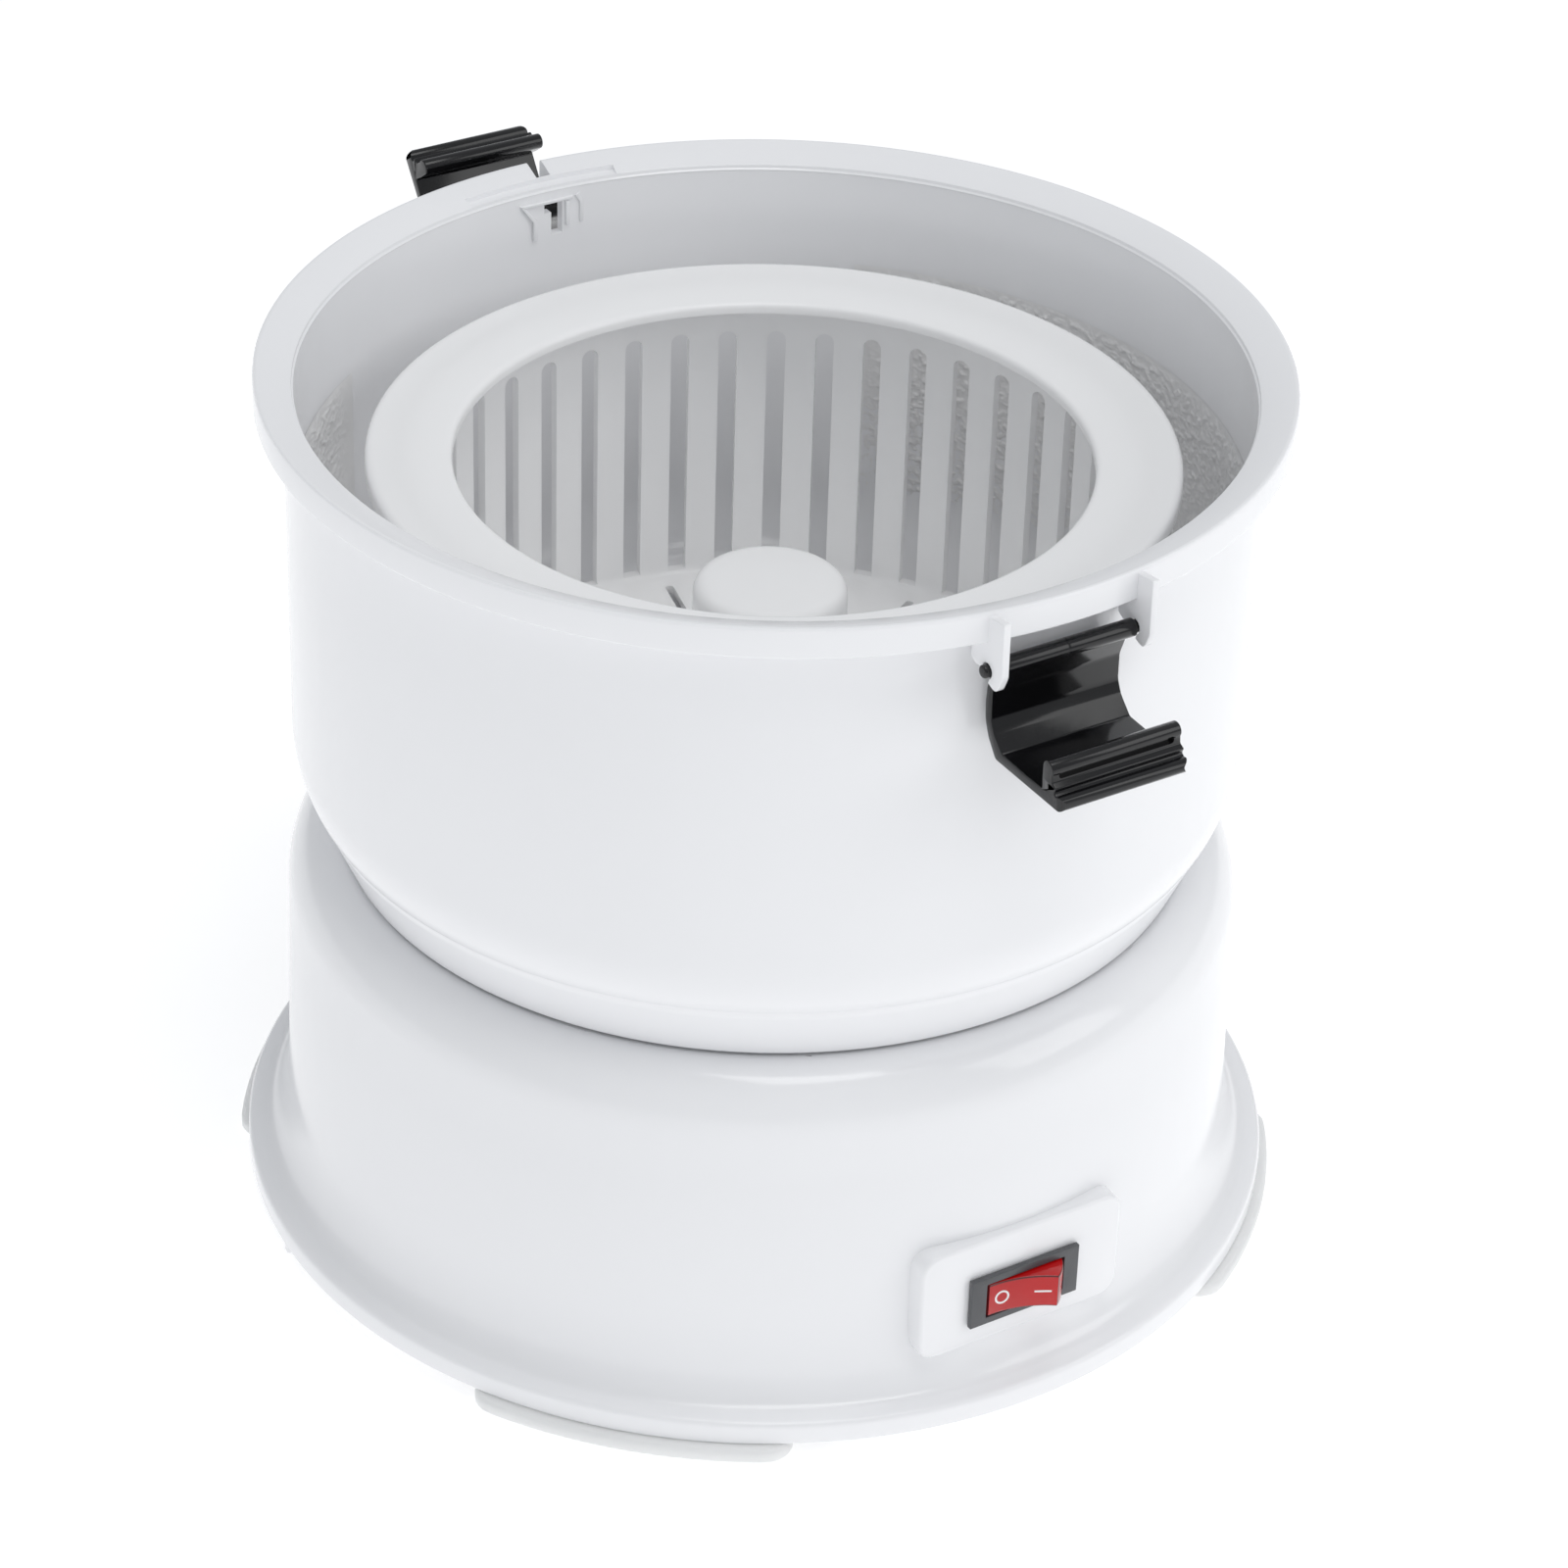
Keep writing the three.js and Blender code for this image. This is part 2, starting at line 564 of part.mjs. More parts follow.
const motorCan = () => turned([
  [MOTOR_RADIUS - MOTOR_WALL, CAN_BOTTOM], [MOTOR_RADIUS, CAN_BOTTOM],
  [MOTOR_RADIUS, CAN_TOP], [9, CAN_TOP], [9, CAN_TOP + 4],
  [6, CAN_TOP + 4], [6, CAN_TOP - MOTOR_WALL], [MOTOR_RADIUS - MOTOR_WALL, CAN_TOP - MOTOR_WALL],
], MIDDLE_ROUND);

const motorEndCap = () => ring(MOTOR_RADIUS - MOTOR_WALL - GAP, 6 + GAP, CAN_BOTTOM,
  CAN_BOTTOM + CAP_HEIGHT, MIDDLE_ROUND);

const motorBush = (low, high, outer) => ring(outer, MOTOR_SHAFT + GAP, low, high);

function motorMagnet() {
  const outer = MOTOR_RADIUS - MOTOR_WALL - GAP;
  const outline = [
    ...arc(0, 0, outer, -62, 62, 8),
    ...arc(0, 0, outer - MAGNET_THICKNESS, 62, -62, 8),
  ];
  return plate(outline, CAN_BOTTOM + CAP_HEIGHT + 3, CAN_TOP - MOTOR_WALL - 3);
}

function motorArmature() {
  const core = [CAN_BOTTOM + CAP_HEIGHT + 7, CAN_TOP - MOTOR_WALL - 5];
  const commutator = 8;
  const shaftEnd = PULLEY_MIDDLE - GROOVE / 2 - 2;
  return turned([
    [0, shaftEnd], [MOTOR_SHAFT, shaftEnd], [MOTOR_SHAFT, CAN_BOTTOM + CAP_HEIGHT + 1],
    [commutator, CAN_BOTTOM + CAP_HEIGHT + 1], [commutator, core[0]], [ARMATURE_RADIUS, core[0]],
    [ARMATURE_RADIUS, core[1]], [MOTOR_SHAFT, core[1]], [MOTOR_SHAFT, CAN_TOP + 3], [0, CAN_TOP + 3],
  ], SMALL_ROUND);
}

// ---------------------------------------------------------------- bowl, from its own foot up
const EAR_INNER = LATCH_HALF_LENGTH + 0.5;
const LATCH_AXIS = BOWL_RADIUS + LATCH_AXIS_OUT;
const LATCH_AXIS_UP = BOWL_HEIGHT - LATCH_AXIS_DROP;

function bowlShell() {
  const lipInner = RIM_RADIUS - 2.4;
  const lipTop = BOWL_HEIGHT - RIM_FALL - 1.2;
  const bandEnd = BOWL_HEIGHT - RIM_FALL;
  const step = 0.6;
  const crease = [BOWL_RADIUS - 4.3, 16.5];
  return turned([
    [JOINT_RADIUS - RING_WALL, 0],
    [JOINT_RADIUS, 0],
    ...corner(crease, [JOINT_RADIUS + 2.6, 6], [JOINT_RADIUS, 0]).reverse().slice(1),
    ...corner([BOWL_RADIUS, 30], [BOWL_RADIUS - 0.4, crease[1] + 4], crease).reverse().slice(1),
    [BOWL_RADIUS, lipTop - 1.5],
    [lipInner, lipTop],
    [lipInner, BOWL_HEIGHT - RIM_SKIRT],
    [RIM_RADIUS, BOWL_HEIGHT - RIM_SKIRT],
    [RIM_RADIUS, BOWL_HEIGHT - 1],
    [RIM_RADIUS - 1, BOWL_HEIGHT],
    [BOWL_INNER + step, bandEnd],
    [BOWL_INNER + step, bandEnd - step],
    [BOWL_INNER, bandEnd - 2 * step],
    ...corner([BOWL_INNER, BOWL_FLOOR + 18], [BOWL_INNER, BOWL_FLOOR], [BOWL_INNER - 18, BOWL_FLOOR]),
    [TUBE_RADIUS + 3, BOWL_FLOOR],
    [TUBE_RADIUS, BOWL_FLOOR + 3],
    [TUBE_RADIUS, TUBE_TOP],
    [TUBE_BORE, TUBE_TOP],
    [TUBE_BORE, FOOT_RING_HEIGHT],
    [JOINT_RADIUS - RING_WALL, FOOT_RING_HEIGHT],
  ]);
}

// One latch ear: a thin upright plate on the rim that hooks outside and under the latch's pin.
function ear() {
  const [axisOut, axisUp] = [LATCH_AXIS, LATCH_AXIS_UP];
  const outer = RIM_RADIUS + EAR_OUT;
  const seat = LATCH_PIN + GAP;
  const hook = 2.4;
  const outline = [
    [BOWL_RADIUS - 1, BOWL_HEIGHT - 5.5],
    [RIM_RADIUS - 2, BOWL_HEIGHT - 1.2],
    [outer, BOWL_HEIGHT - 0.4],
    ...arc(axisOut + 1.2, axisUp + 0.6, outer - axisOut - 1.2, 0, -80, 6),
    [axisOut, axisUp - seat - hook + 1.4],
    [BOWL_RADIUS - 1, axisUp - 1.4],
  ];
  const throat = facingFront([
    [axisOut - seat + 0.4, axisUp], [axisOut + seat - 1.5, axisUp],
    [axisOut - 1.6, axisUp - 9], [axisOut - 9, axisUp - 9],
  ], EAR_THICKNESS);
  const seatHole = facingFront(circle(axisOut, axisUp, seat, 20), EAR_THICKNESS);
  return cut(facingFront(outline, EAR_THICKNESS / 2), seatHole, throat);
}

function bowl() {
  const side = EAR_INNER + EAR_THICKNESS / 2;
  const ears = [];
  for (const angle of [0, 180]) {
    for (const x of [-side, side]) ears.push(turnedTo(ear().translate([x, 0, 0]), angle));
  }
  const notchUp = BOWL_HEIGHT - RIM_SKIRT / 2;
  const notch = box(KEY_NOTCH_WIDTH, RIM_OVERHANG + 2, RIM_SKIRT + 4, KEY_NOTCH_WIDTH / 2 + 0.4,
    BOWL_RADIUS + RIM_OVERHANG / 2 + 1.4, notchUp);
  const windowTop = BOWL_HEIGHT - 9;
  const slotAcross = box(4.4, 3 * BOWL_WALL, 1.6, 2.8, BOWL_RADIUS, windowTop - 0.8);
  const slotDown = box(1.6, 3 * BOWL_WALL, 7.4, 4.2, BOWL_RADIUS, windowTop - 3.7);
  return cut(join(bowlShell(), ...ears), notch, slotAcross, slotDown);
}

const spindleBush = (low, high) => ring(TUBE_BORE - GAP, SPINDLE_RADIUS + GAP, low, high);

function shaftSeal() {
  const low = FOOT_RING_HEIGHT + 0.5;
  return turned([
    [SPINDLE_RADIUS + GAP, low + 1.4], [SPINDLE_RADIUS + 2, low], [TUBE_BORE - GAP, low],
    [TUBE_BORE - GAP, low + 4], [SPINDLE_RADIUS + 2.2, low + 4], [SPINDLE_RADIUS + GAP, low + 2],
  ], SMALL_ROUND);
}

// ---------------------------------------------------------------- spindle, from the bowl's foot up
const DRIVER_BOTTOM = TUBE_TOP + 1;
const DRIVER_TOP = DRIVER_BOTTOM + DRIVER_HEIGHT;
const DRIVEN_TOP = FOOT_RING_HEIGHT - 2.3;
const DRIVEN_BOTTOM = DOG_BASE + DOG_DISC - BASE_HEIGHT + 2.2;
const SOCKET_TOP = DOG_TOP - BASE_HEIGHT + RUNNING_GAP;

const spindle = () => turned([
  [0, SOCKET_TOP + 0.4], [SPINDLE_RADIUS, SOCKET_TOP + 0.4], [SPINDLE_RADIUS, DRIVER_TOP - 2],
  [0, DRIVER_TOP - 2],
], SMALL_ROUND);

function drivenDog() {
  const body = plate(circle(0, 0, DOG_RADIUS - 1, MIDDLE_ROUND), DRIVEN_BOTTOM, DRIVEN_TOP);
  const socket = plate(hexagon(DOG_FLATS + 2 * RUNNING_GAP), DRIVEN_BOTTOM - 1, SOCKET_TOP);
  const bore = plate(circle(0, 0, SPINDLE_RADIUS + GAP), DRIVEN_BOTTOM, DRIVEN_TOP + 1);
  return cut(body, socket, bore);
}

const spindleWasher = () => ring(SPINDLE_RADIUS + 4.5, SPINDLE_RADIUS + GAP,
  DRIVEN_TOP + GAP, FOOT_RING_HEIGHT + 0.2);

function basketDriver() {
  const hex = plate(hexagon(DRIVER_FLATS), DRIVER_BOTTOM, DRIVER_TOP);
  const bore = plate(circle(0, 0, SPINDLE_RADIUS + GAP), DRIVER_BOTTOM - 1, DRIVER_TOP - 2 + GAP);
  return cut(hex, bore);
}

// ---------------------------------------------------------------- basket, from the bowl's foot up
const WALL_TOP = BASKET_RING_TOP - 2.8;
const BASKET_INNER = BASKET_RADIUS - BASKET_WALL;
const BASKET_UNDERSIDE = BASKET_FLOOR - BASKET_WALL;

function basket() {
  const bend = 6;
  const shell = turned([
    [HUB_BORE, BASKET_UNDERSIDE],
    ...corner([BASKET_RADIUS - bend, BASKET_UNDERSIDE], [BASKET_RADIUS, BASKET_UNDERSIDE],
      [BASKET_RADIUS, BASKET_UNDERSIDE + bend], 2),
    [BASKET_RADIUS, WALL_TOP],
    [BASKET_INNER, WALL_TOP],
    [BASKET_INNER, BASKET_FLOOR + 3],
    [BASKET_INNER - 3, BASKET_FLOOR],
    [HUB_BORE, BASKET_FLOOR],
  ], SLOT_COUNT);
  return cut(join(shell, basketHub()), ...wallSlots(), ...floorSlots());
}

// The tall hollow post in the middle, with the hexagonal socket under its closed top.
function basketHub() {
  const crown = HUB_TOP - 0.8;
  const post = turned([
    [HUB_BORE, BASKET_UNDERSIDE],
    [HUB_RADIUS + 2.5, BASKET_UNDERSIDE],
    [HUB_RADIUS + 2.5, BASKET_FLOOR],
    [HUB_RADIUS, BASKET_FLOOR + 3],
    ...corner([HUB_RADIUS, crown - HUB_ROUNDING], [HUB_RADIUS, crown],
      [HUB_RADIUS - HUB_ROUNDING, crown]),
    [0, HUB_TOP],
    [0, DRIVER_BOTTOM - GAP],
    [HUB_BORE, DRIVER_BOTTOM - GAP],
  ], MIDDLE_ROUND);
  const socket = plate(hexagon(DRIVER_FLATS + 2 * GAP), DRIVER_BOTTOM - 1, DRIVER_TOP + GAP);
  return cut(post, socket);
}

// A slot with a round top, drawn upright at the front and cut through the wall.
function wallSlots() {
  const half = SLOT_WIDTH / 2;
  const low = BASKET_FLOOR + 1.2;
  const outline = [[half, low], ...arc(0, SLOT_TOP - half, half, 0, 180, 4), [-half, low]];
  const blank = plate(outline, BASKET_INNER - 5, BASKET_RADIUS + 3).rotate([90, 0, 0]);
  const slots = [];
  for (let i = 0; i < SLOT_COUNT; i += 1) slots.push(turnedTo(blank, (360 * (i + 0.5)) / SLOT_COUNT));
  return slots;
}

function floorSlots() {
  const from = HUB_RADIUS + 14;
  const to = BASKET_INNER - 6;
  const blank = box(FLOOR_SLOT_WIDTH, to - from, 3 * BASKET_WALL, 0, -(from + to) / 2, BASKET_FLOOR);
  const slots = [];
  for (let i = 0; i < FLOOR_SLOT_COUNT; i += 1) {
    slots.push(turnedTo(blank, FLOOR_SLOT_TURN + (360 * i) / FLOOR_SLOT_COUNT));
  }
  return slots;
}

// The wide ring that snaps over the wall: its wall sits between two ribs under the ring.
function basketRing() {
  const [outer, inner] = [BASKET_RING_RADIUS, BASKET_OPENING];
  const under = WALL_TOP + GAP;
  const innerTop = BASKET_RING_TOP - 1.7;
  return turned([
    [outer, BASKET_RING_TOP - 5],
    [outer, BASKET_RING_TOP - 1.6],
    [outer - 1.6, BASKET_RING_TOP],
    [inner + 1.2, innerTop],
    [inner, innerTop - 1.2],
    [inner, innerTop - 3],
    [inner + 1.8, innerTop - 3],
    [BASKET_INNER - GAP - 1.6, under],
    [BASKET_INNER - GAP - 1.6, under - 3],
    [BASKET_INNER - GAP, under - 3],
    [BASKET_INNER - GAP, under],
    [BASKET_RADIUS + GAP, under],
    [BASKET_RADIUS + GAP, under - 3],
    [BASKET_RADIUS + GAP + 1.6, under - 3],
    [BASKET_RADIUS + GAP + 1.6, under],
    [outer - 2, under],
    [outer - 2, BASKET_RING_TOP - 5],
  ], SLOT_COUNT);
}

// ---------------------------------------------------------------- latch, about its hinge axis
// x points away from the bowl and y up; the latch hangs down.
function latch() {
  const outline = [
    [-LATCH_BARREL, 0],
    [-4.3, -6],
    [-4.9, -11],
    [-4.7, -15.5],
    [-3.2, -19.5],
    [0.2, -24.3],
    [24.6, -24.3],
    ...arc(24.6, -22.5, 1.8, -90, 90, 6).slice(1),
    [22.6, -21.2],
    [22.3, -15.4],
    ...arc(20.6, -15.2, 1.7, 0, 180, 6),
    [18.8, -21.5],
    [12, -21.7],
    [2.8, -21.5],
    [-1.2, -17.6],
    [-2.4, -15],
    [-2.5, -8],
    [LATCH_BARREL, 0],
  ];
  const plateSolid = plate(outline, -LATCH_PLATE_HALF, LATCH_PLATE_HALF);
  const barrel = plate(circle(0, 0, LATCH_BARREL), -LATCH_HALF_LENGTH, LATCH_HALF_LENGTH);
  const pinHalf = EAR_INNER + EAR_THICKNESS + 1.4;
  const pin = plate(circle(0, 0, LATCH_PIN, 16), -pinHalf, pinHalf);
  return join(plateSolid, barrel, pin);
}

// ---------------------------------------------------------------- the assembly
add("base_housing", baseHousing(), finishes.whiteShell);
add("base_plate", basePlate(), finishes.whiteShell);

FOOT_ANGLES.forEach((angle, i) => {
  const mesh = add(`foot_${i + 1}`, foot(), finishes.silicone);
  mesh.rotation.z = radians(angle);
});
BASE_SCREW_ANGLES.forEach((angle, i) => {
  const [x, y] = radially(BASE_SCREW_CIRCLE, angle);
  const mesh = add(`base_screw_${i + 1}`, screw(14), finishes.zincPlate);
  mesh.position.set(x, y, -GAP);
});

const switchGroup = new THREE.Group();
switchGroup.position.z = SWITCH_HEIGHT;
model.add(switchGroup);
add("switch_housing", switchHousing(), finishes.charcoal, switchGroup);
const rocker = add("switch_rocker", switchRocker(), finishes.redClear, switchGroup);
rocker.position.y = -ROCKER_PIVOT;
rocker.rotation.z = -radians(ROCKER_TILT);
add("cord_gland", cordGland(), finishes.blackRubber);

add("bearing_tower", bearingTower(), finishes.nylon);
TOWER_SCREW_ANGLES.forEach((angle, i) => {
  const [x, y] = radially(TOWER_SCREW_CIRCLE, angle);
  const mesh = add(`tower_screw_${i + 1}`, screw(7), finishes.zincPlate);
  mesh.rotation.x = Math.PI;
  mesh.position.set(x, y, WELL_FLOOR + GAP);
});
add("upper_bearing", bearing(BEARING_TOP), finishes.steel);
add("lower_bearing", bearing(LOWER_BEARING_TOP), finishes.steel);
add("bearing_spacer", ring(BEARING_RADIUS, BEARING_RADIUS - 2,
  LOWER_BEARING_TOP + GAP, BEARING_TOP - BEARING_HEIGHT - GAP), finishes.steel);
add("output_shaft", outputShaft(), finishes.steel);
add("drive_dog", driveDog(), finishes.blackGloss);
add("driven_pulley", pulley(PULLEY_RADIUS, SPINDLE_RADIUS + GAP, MIDDLE_ROUND), finishes.nylon);
add("retaining_ring", retainingRing(), finishes.steel);
add("drive_belt", driveBelt(), finishes.blackRubber);

add("motor_bracket", motorBracket(), finishes.zincPlate);
BRACKET_HOLES.forEach(([x, y], i) => {
  const mesh = add(`bracket_screw_${i + 1}`, screw(14), finishes.zincPlate);
  mesh.position.set(x, y, BRACKET_TOP - BRACKET_THICKNESS - GAP);
});
const motorGroup = new THREE.Group();
motorGroup.position.y = MOTOR_OFFSET;
model.add(motorGroup);
add("motor_can", motorCan(), finishes.zincPlate, motorGroup);
add("motor_end_cap", motorEndCap(), finishes.nylon, motorGroup);
add("motor_upper_bush", motorBush(CAN_TOP - 1, CAN_TOP + 3, 6 - GAP), finishes.bronze, motorGroup);
add("motor_lower_bush", motorBush(CAN_BOTTOM, CAN_BOTTOM + CAP_HEIGHT, 6), finishes.bronze, motorGroup);
for (const [name, turn] of [["motor_magnet_left", Math.PI], ["motor_magnet_right", 0]]) {
  add(name, motorMagnet(), finishes.magnet, motorGroup).rotation.z = turn;
}
add("motor_armature", motorArmature(), finishes.copper, motorGroup);
add("motor_pulley", pulley(MOTOR_PULLEY_RADIUS, MOTOR_SHAFT + GAP, SMALL_ROUND), finishes.nylon, motorGroup);

const bowlGroup = new THREE.Group();
bowlGroup.position.z = BASE_HEIGHT;
model.add(bowlGroup);
add("bowl", bowl(), finishes.whiteShell, bowlGroup);
add("lower_spindle_bush", spindleBush(BOWL_FLOOR + 2.5, BOWL_FLOOR + 12.5), finishes.bronze, bowlGroup);
add("upper_spindle_bush", spindleBush(TUBE_TOP - 10, TUBE_TOP - GAP), finishes.bronze, bowlGroup);
add("shaft_seal", shaftSeal(), finishes.blackRubber, bowlGroup);
add("spindle", spindle(), finishes.steel, bowlGroup);
add("driven_dog", drivenDog(), finishes.blackGloss, bowlGroup);
add("spindle_washer", spindleWasher(), finishes.steel, bowlGroup);
add("basket_driver", basketDriver(), finishes.nylon, bowlGroup);
add("basket", basket(), finishes.whiteBasket, bowlGroup);
add("basket_ring", basketRing(), finishes.whiteBasket, bowlGroup);

for (const [name, turn, open] of [["front_latch", 0, 0], ["rear_latch", 180, REAR_LATCH_ANGLE]]) {
  const side = new THREE.Group();
  side.rotation.z = radians(turn);
  bowlGroup.add(side);
  const hinge = new THREE.Group();
  hinge.quaternion.setFromRotationMatrix(frontMatrix());
  hinge.position.set(0, -LATCH_AXIS, LATCH_AXIS_UP);
  side.add(hinge);
  add(name, latch(), finishes.blackGloss, hinge).rotation.z = radians(open);
}

export default model;
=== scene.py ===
"""An electric salad spinner without its lid: white motor base, bowl, slotted basket and black latches."""
import json
import math

import bmesh
import bpy
from mathutils import Matrix, Vector, noise


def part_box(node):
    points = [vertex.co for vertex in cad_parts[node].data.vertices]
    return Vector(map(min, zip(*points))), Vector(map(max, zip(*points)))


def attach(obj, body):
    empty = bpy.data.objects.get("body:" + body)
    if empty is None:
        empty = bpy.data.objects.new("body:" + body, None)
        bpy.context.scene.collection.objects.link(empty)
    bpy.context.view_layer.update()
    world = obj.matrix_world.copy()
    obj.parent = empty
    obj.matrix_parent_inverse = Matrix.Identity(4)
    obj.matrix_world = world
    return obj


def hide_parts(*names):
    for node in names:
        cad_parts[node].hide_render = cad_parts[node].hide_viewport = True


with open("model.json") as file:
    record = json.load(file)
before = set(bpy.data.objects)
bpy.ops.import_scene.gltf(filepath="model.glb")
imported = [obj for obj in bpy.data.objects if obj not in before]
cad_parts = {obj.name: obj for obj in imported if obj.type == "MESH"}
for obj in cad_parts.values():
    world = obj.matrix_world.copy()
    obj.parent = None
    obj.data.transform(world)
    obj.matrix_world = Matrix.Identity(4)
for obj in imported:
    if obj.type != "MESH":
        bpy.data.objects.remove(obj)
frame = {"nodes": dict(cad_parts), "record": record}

MM = 0.001  # outlines are drawn in millimetres and scaled to metres
ROUND = 192  # segments round the large shells
SHARP = math.radians(38)  # edges sharper than this stay crisp
WELD = 1e-4  # points closer than this are one point, in millimetres
HALF_TURN = Matrix.Rotation(math.pi, 4, "Z")
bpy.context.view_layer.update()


def height_of(node, end):
    """The lowest (end 0) or highest (end 1) point of a CAD node, in millimetres."""
    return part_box(node)[end].z / MM


FRONT, REAR = 0, 180  # azimuths, counted anticlockwise from above
JOINT = height_of("bowl", 0)  # where the bowl's foot stands
RIM = height_of("bowl", 1)
BARREL = 2.2  # radius of a latch's barrel
LATCH_UP = height_of("front_latch", 1) - BARREL  # the latch pins' height
LATCH_OUT = 123.6  # and their distance from the axis
EAR_ALONG = 19.85  # from a latch's middle to the middle of its ears
SWITCH_UP = (height_of("switch_housing", 0) + height_of("switch_housing", 1)) / 2
PAD_FACE = 123.4  # the flat pad's distance from the axis
BEZEL_FACE = -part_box("switch_housing")[0].y / MM
PIVOT_OUT = BEZEL_FACE - 4.8  # the rocker turns about this line inside the bezel


# ---------------------------------------------------------------- outlines
SLIMMEST = 0.2  # radians; a corner slimmer than this is rounded as if it were this wide
SIDE_SHARE = 0.48  # a fillet takes at most this share of each side of its corner


def filleted(corners, steps=4):
    """A closed outline of (x, y) or (x, y, radius) corners, each rounded by its radius."""
    points = []
    for i, (x, y, *radius) in enumerate(corners):
        here = Vector((x, y))
        if not radius:
            points.append(here)
            continue
        before = Vector(corners[i - 1][:2]) - here
        after = Vector(corners[(i + 1) % len(corners)][:2]) - here
        reach = radius[0] / math.tan(max(before.angle(after), SLIMMEST) / 2)
        start = here + before.normalized() * min(reach, SIDE_SHARE * before.length)
        end = here + after.normalized() * min(reach, SIDE_SHARE * after.length)
        for k in range(steps + 1):
            t = k / steps
            points.append(start.lerp(here, t).lerp(here.lerp(end, t), t))
    return points


def bend(start, towards, end, steps=10, first=0.0):
    """A quarter of an ellipse from start to end, bulging towards the corner point."""
    points = []
    for k in range(steps + 1):
        angle = first + (math.pi / 2 - first) * k / steps
        along, across = math.sin(angle), 1 - math.cos(angle)
        points.append((
            start[0] + (towards[0] - start[0]) * along + (end[0] - towards[0]) * across,
            start[1] + (towards[1] - start[1]) * along + (end[1] - towards[1]) * across,
        ))
    return points


def arc(x, y, radius, first, last, steps):
    """Points on a circle about (x, y), from the first to the last angle in degrees."""
    turns = [math.radians(first + (last - first) * k / steps) for k in range(steps + 1)]
    return [(x + radius * math.cos(turn), y + radius * math.sin(turn)) for turn in turns]


def rectangle(width, height, radius):
    """A rectangle about the origin with rounded corners."""
    x, y = width / 2, height / 2
    return filleted([(x, -y, radius), (x, y, radius), (-x, y, radius), (-x, -y, radius)], 8)


# ---------------------------------------------------------------- meshes
def finished(name, bm):
    """Turns a bmesh in millimetres into an object in metres with smooth shading and crisp edges."""
    bmesh.ops.remove_doubles(bm, verts=bm.verts, dist=WELD)
    bmesh.ops.recalc_face_normals(bm, faces=bm.faces)
    bmesh.ops.scale(bm, verts=bm.verts, vec=(MM, MM, MM))
    mesh = bpy.data.meshes.new(name)
    bm.to_mesh(mesh)
    bm.free()
    piece = bpy.data.objects.new(name, mesh)
    bpy.context.scene.collection.objects.link(piece)
    shade(piece)
    return piece


def shade(piece):
    """Smooth shading that keeps the hard edges crisp."""
    piece.data.shade_smooth()
    piece.data.set_sharp_from_angle(angle=SHARP)


def lathed(name, outline, segments=ROUND):
    """A closed outline of (radius, height) points turned round the Z axis."""
    bm = bmesh.new()
    rings = []
    for radius, height in outline:
        if radius < WELD:
            rings.append([bm.verts.new((0, 0, height))])
            continue
        turns = [2 * math.pi * k / segments for k in range(segments)]
        rings.append([bm.verts.new((radius * math.sin(t), -radius * math.cos(t), height)) for t in turns])
    for i, ring in enumerate(rings):
        other = rings[(i + 1) % len(rings)]
        if len(ring) == 1 and len(other) == 1:
            continue
        for k in range(segments):
            corners = [ring[k % len(ring)], ring[(k + 1) % len(ring)],
                       other[(k + 1) % len(other)], other[k % len(other)]]
            bm.faces.new(list(dict.fromkeys(corners)))
    return finished(name, bm)


def slab(name, outline, low, high, edge=0.0, place=None):
    """An outline drawn up from low to high, with rounded rims, then put in place by a matrix."""
    bm = bmesh.new()
    bottom = [bm.verts.new((p[0], p[1], low)) for p in outline]
    top = [bm.verts.new((p[0], p[1], high)) for p in outline]
    caps = [bm.faces.new(bottom[::-1]), bm.faces.new(top)]
    for k in range(len(outline)):
        n = (k + 1) % len(outline)
        bm.faces.new([bottom[k], bottom[n], top[n], top[k]])
    bm.normal_update()
    if edge:
        rims = list({e for cap in caps for e in cap.edges})
        bmesh.ops.bevel(bm, geom=rims, offset=edge, segments=3, profile=0.5, affect="EDGES",
                        clamp_overlap=False)
    if place is not None:
        bmesh.ops.transform(bm, matrix=place, verts=bm.verts)
    return finished(name, bm)


def facing(degrees, up=0.0, out=0.0):
    """Takes (along the wall, up, outwards) to the given azimuth round the Z axis."""
    basis = Matrix(((1, 0, 0, 0), (0, 0, -1, -out), (0, 1, 0, up), (0, 0, 0, 1)))
    return Matrix.Rotation(math.radians(degrees), 4, "Z") @ basis


def sideways(degrees, up=0.0, out=0.0):
    """Takes (outwards, up, along the wall) to the given azimuth round the Z axis."""
    basis = Matrix(((0, 0, -1, 0), (-1, 0, 0, -out), (0, 1, 0, up), (0, 0, 0, 1)))
    return Matrix.Rotation(math.radians(degrees), 4, "Z") @ basis


def merged(name, pieces):
    """Several meshes as one object, not joined by a boolean."""
    bm = bmesh.new()
    for piece in pieces:
        bm.from_mesh(piece.data)
        bpy.data.objects.remove(piece)
    mesh = bpy.data.meshes.new(name)
    bm.to_mesh(mesh)
    bm.free()
    whole = bpy.data.objects.new(name, mesh)
    bpy.context.scene.collection.objects.link(whole)
    return whole


def combine(piece, other, operation):
    """Joins another mesh to a piece, or cuts the piece with it, and removes the other."""
    modifier = piece.modifiers.new("combine", "BOOLEAN")
    modifier.operation = operation
    modifier.solver = "EXACT"
    modifier.use_self = True
    modifier.object = other
    apply_modifiers(piece)
    bpy.data.objects.remove(other)


def apply_modifiers(piece):
    """Makes the modifiers' result the piece's own mesh."""
    graph = bpy.context.evaluated_depsgraph_get()
    mesh = bpy.data.meshes.new_from_object(piece.evaluated_get(graph))
    piece.modifiers.clear()
    piece.data = mesh
    shade(piece)


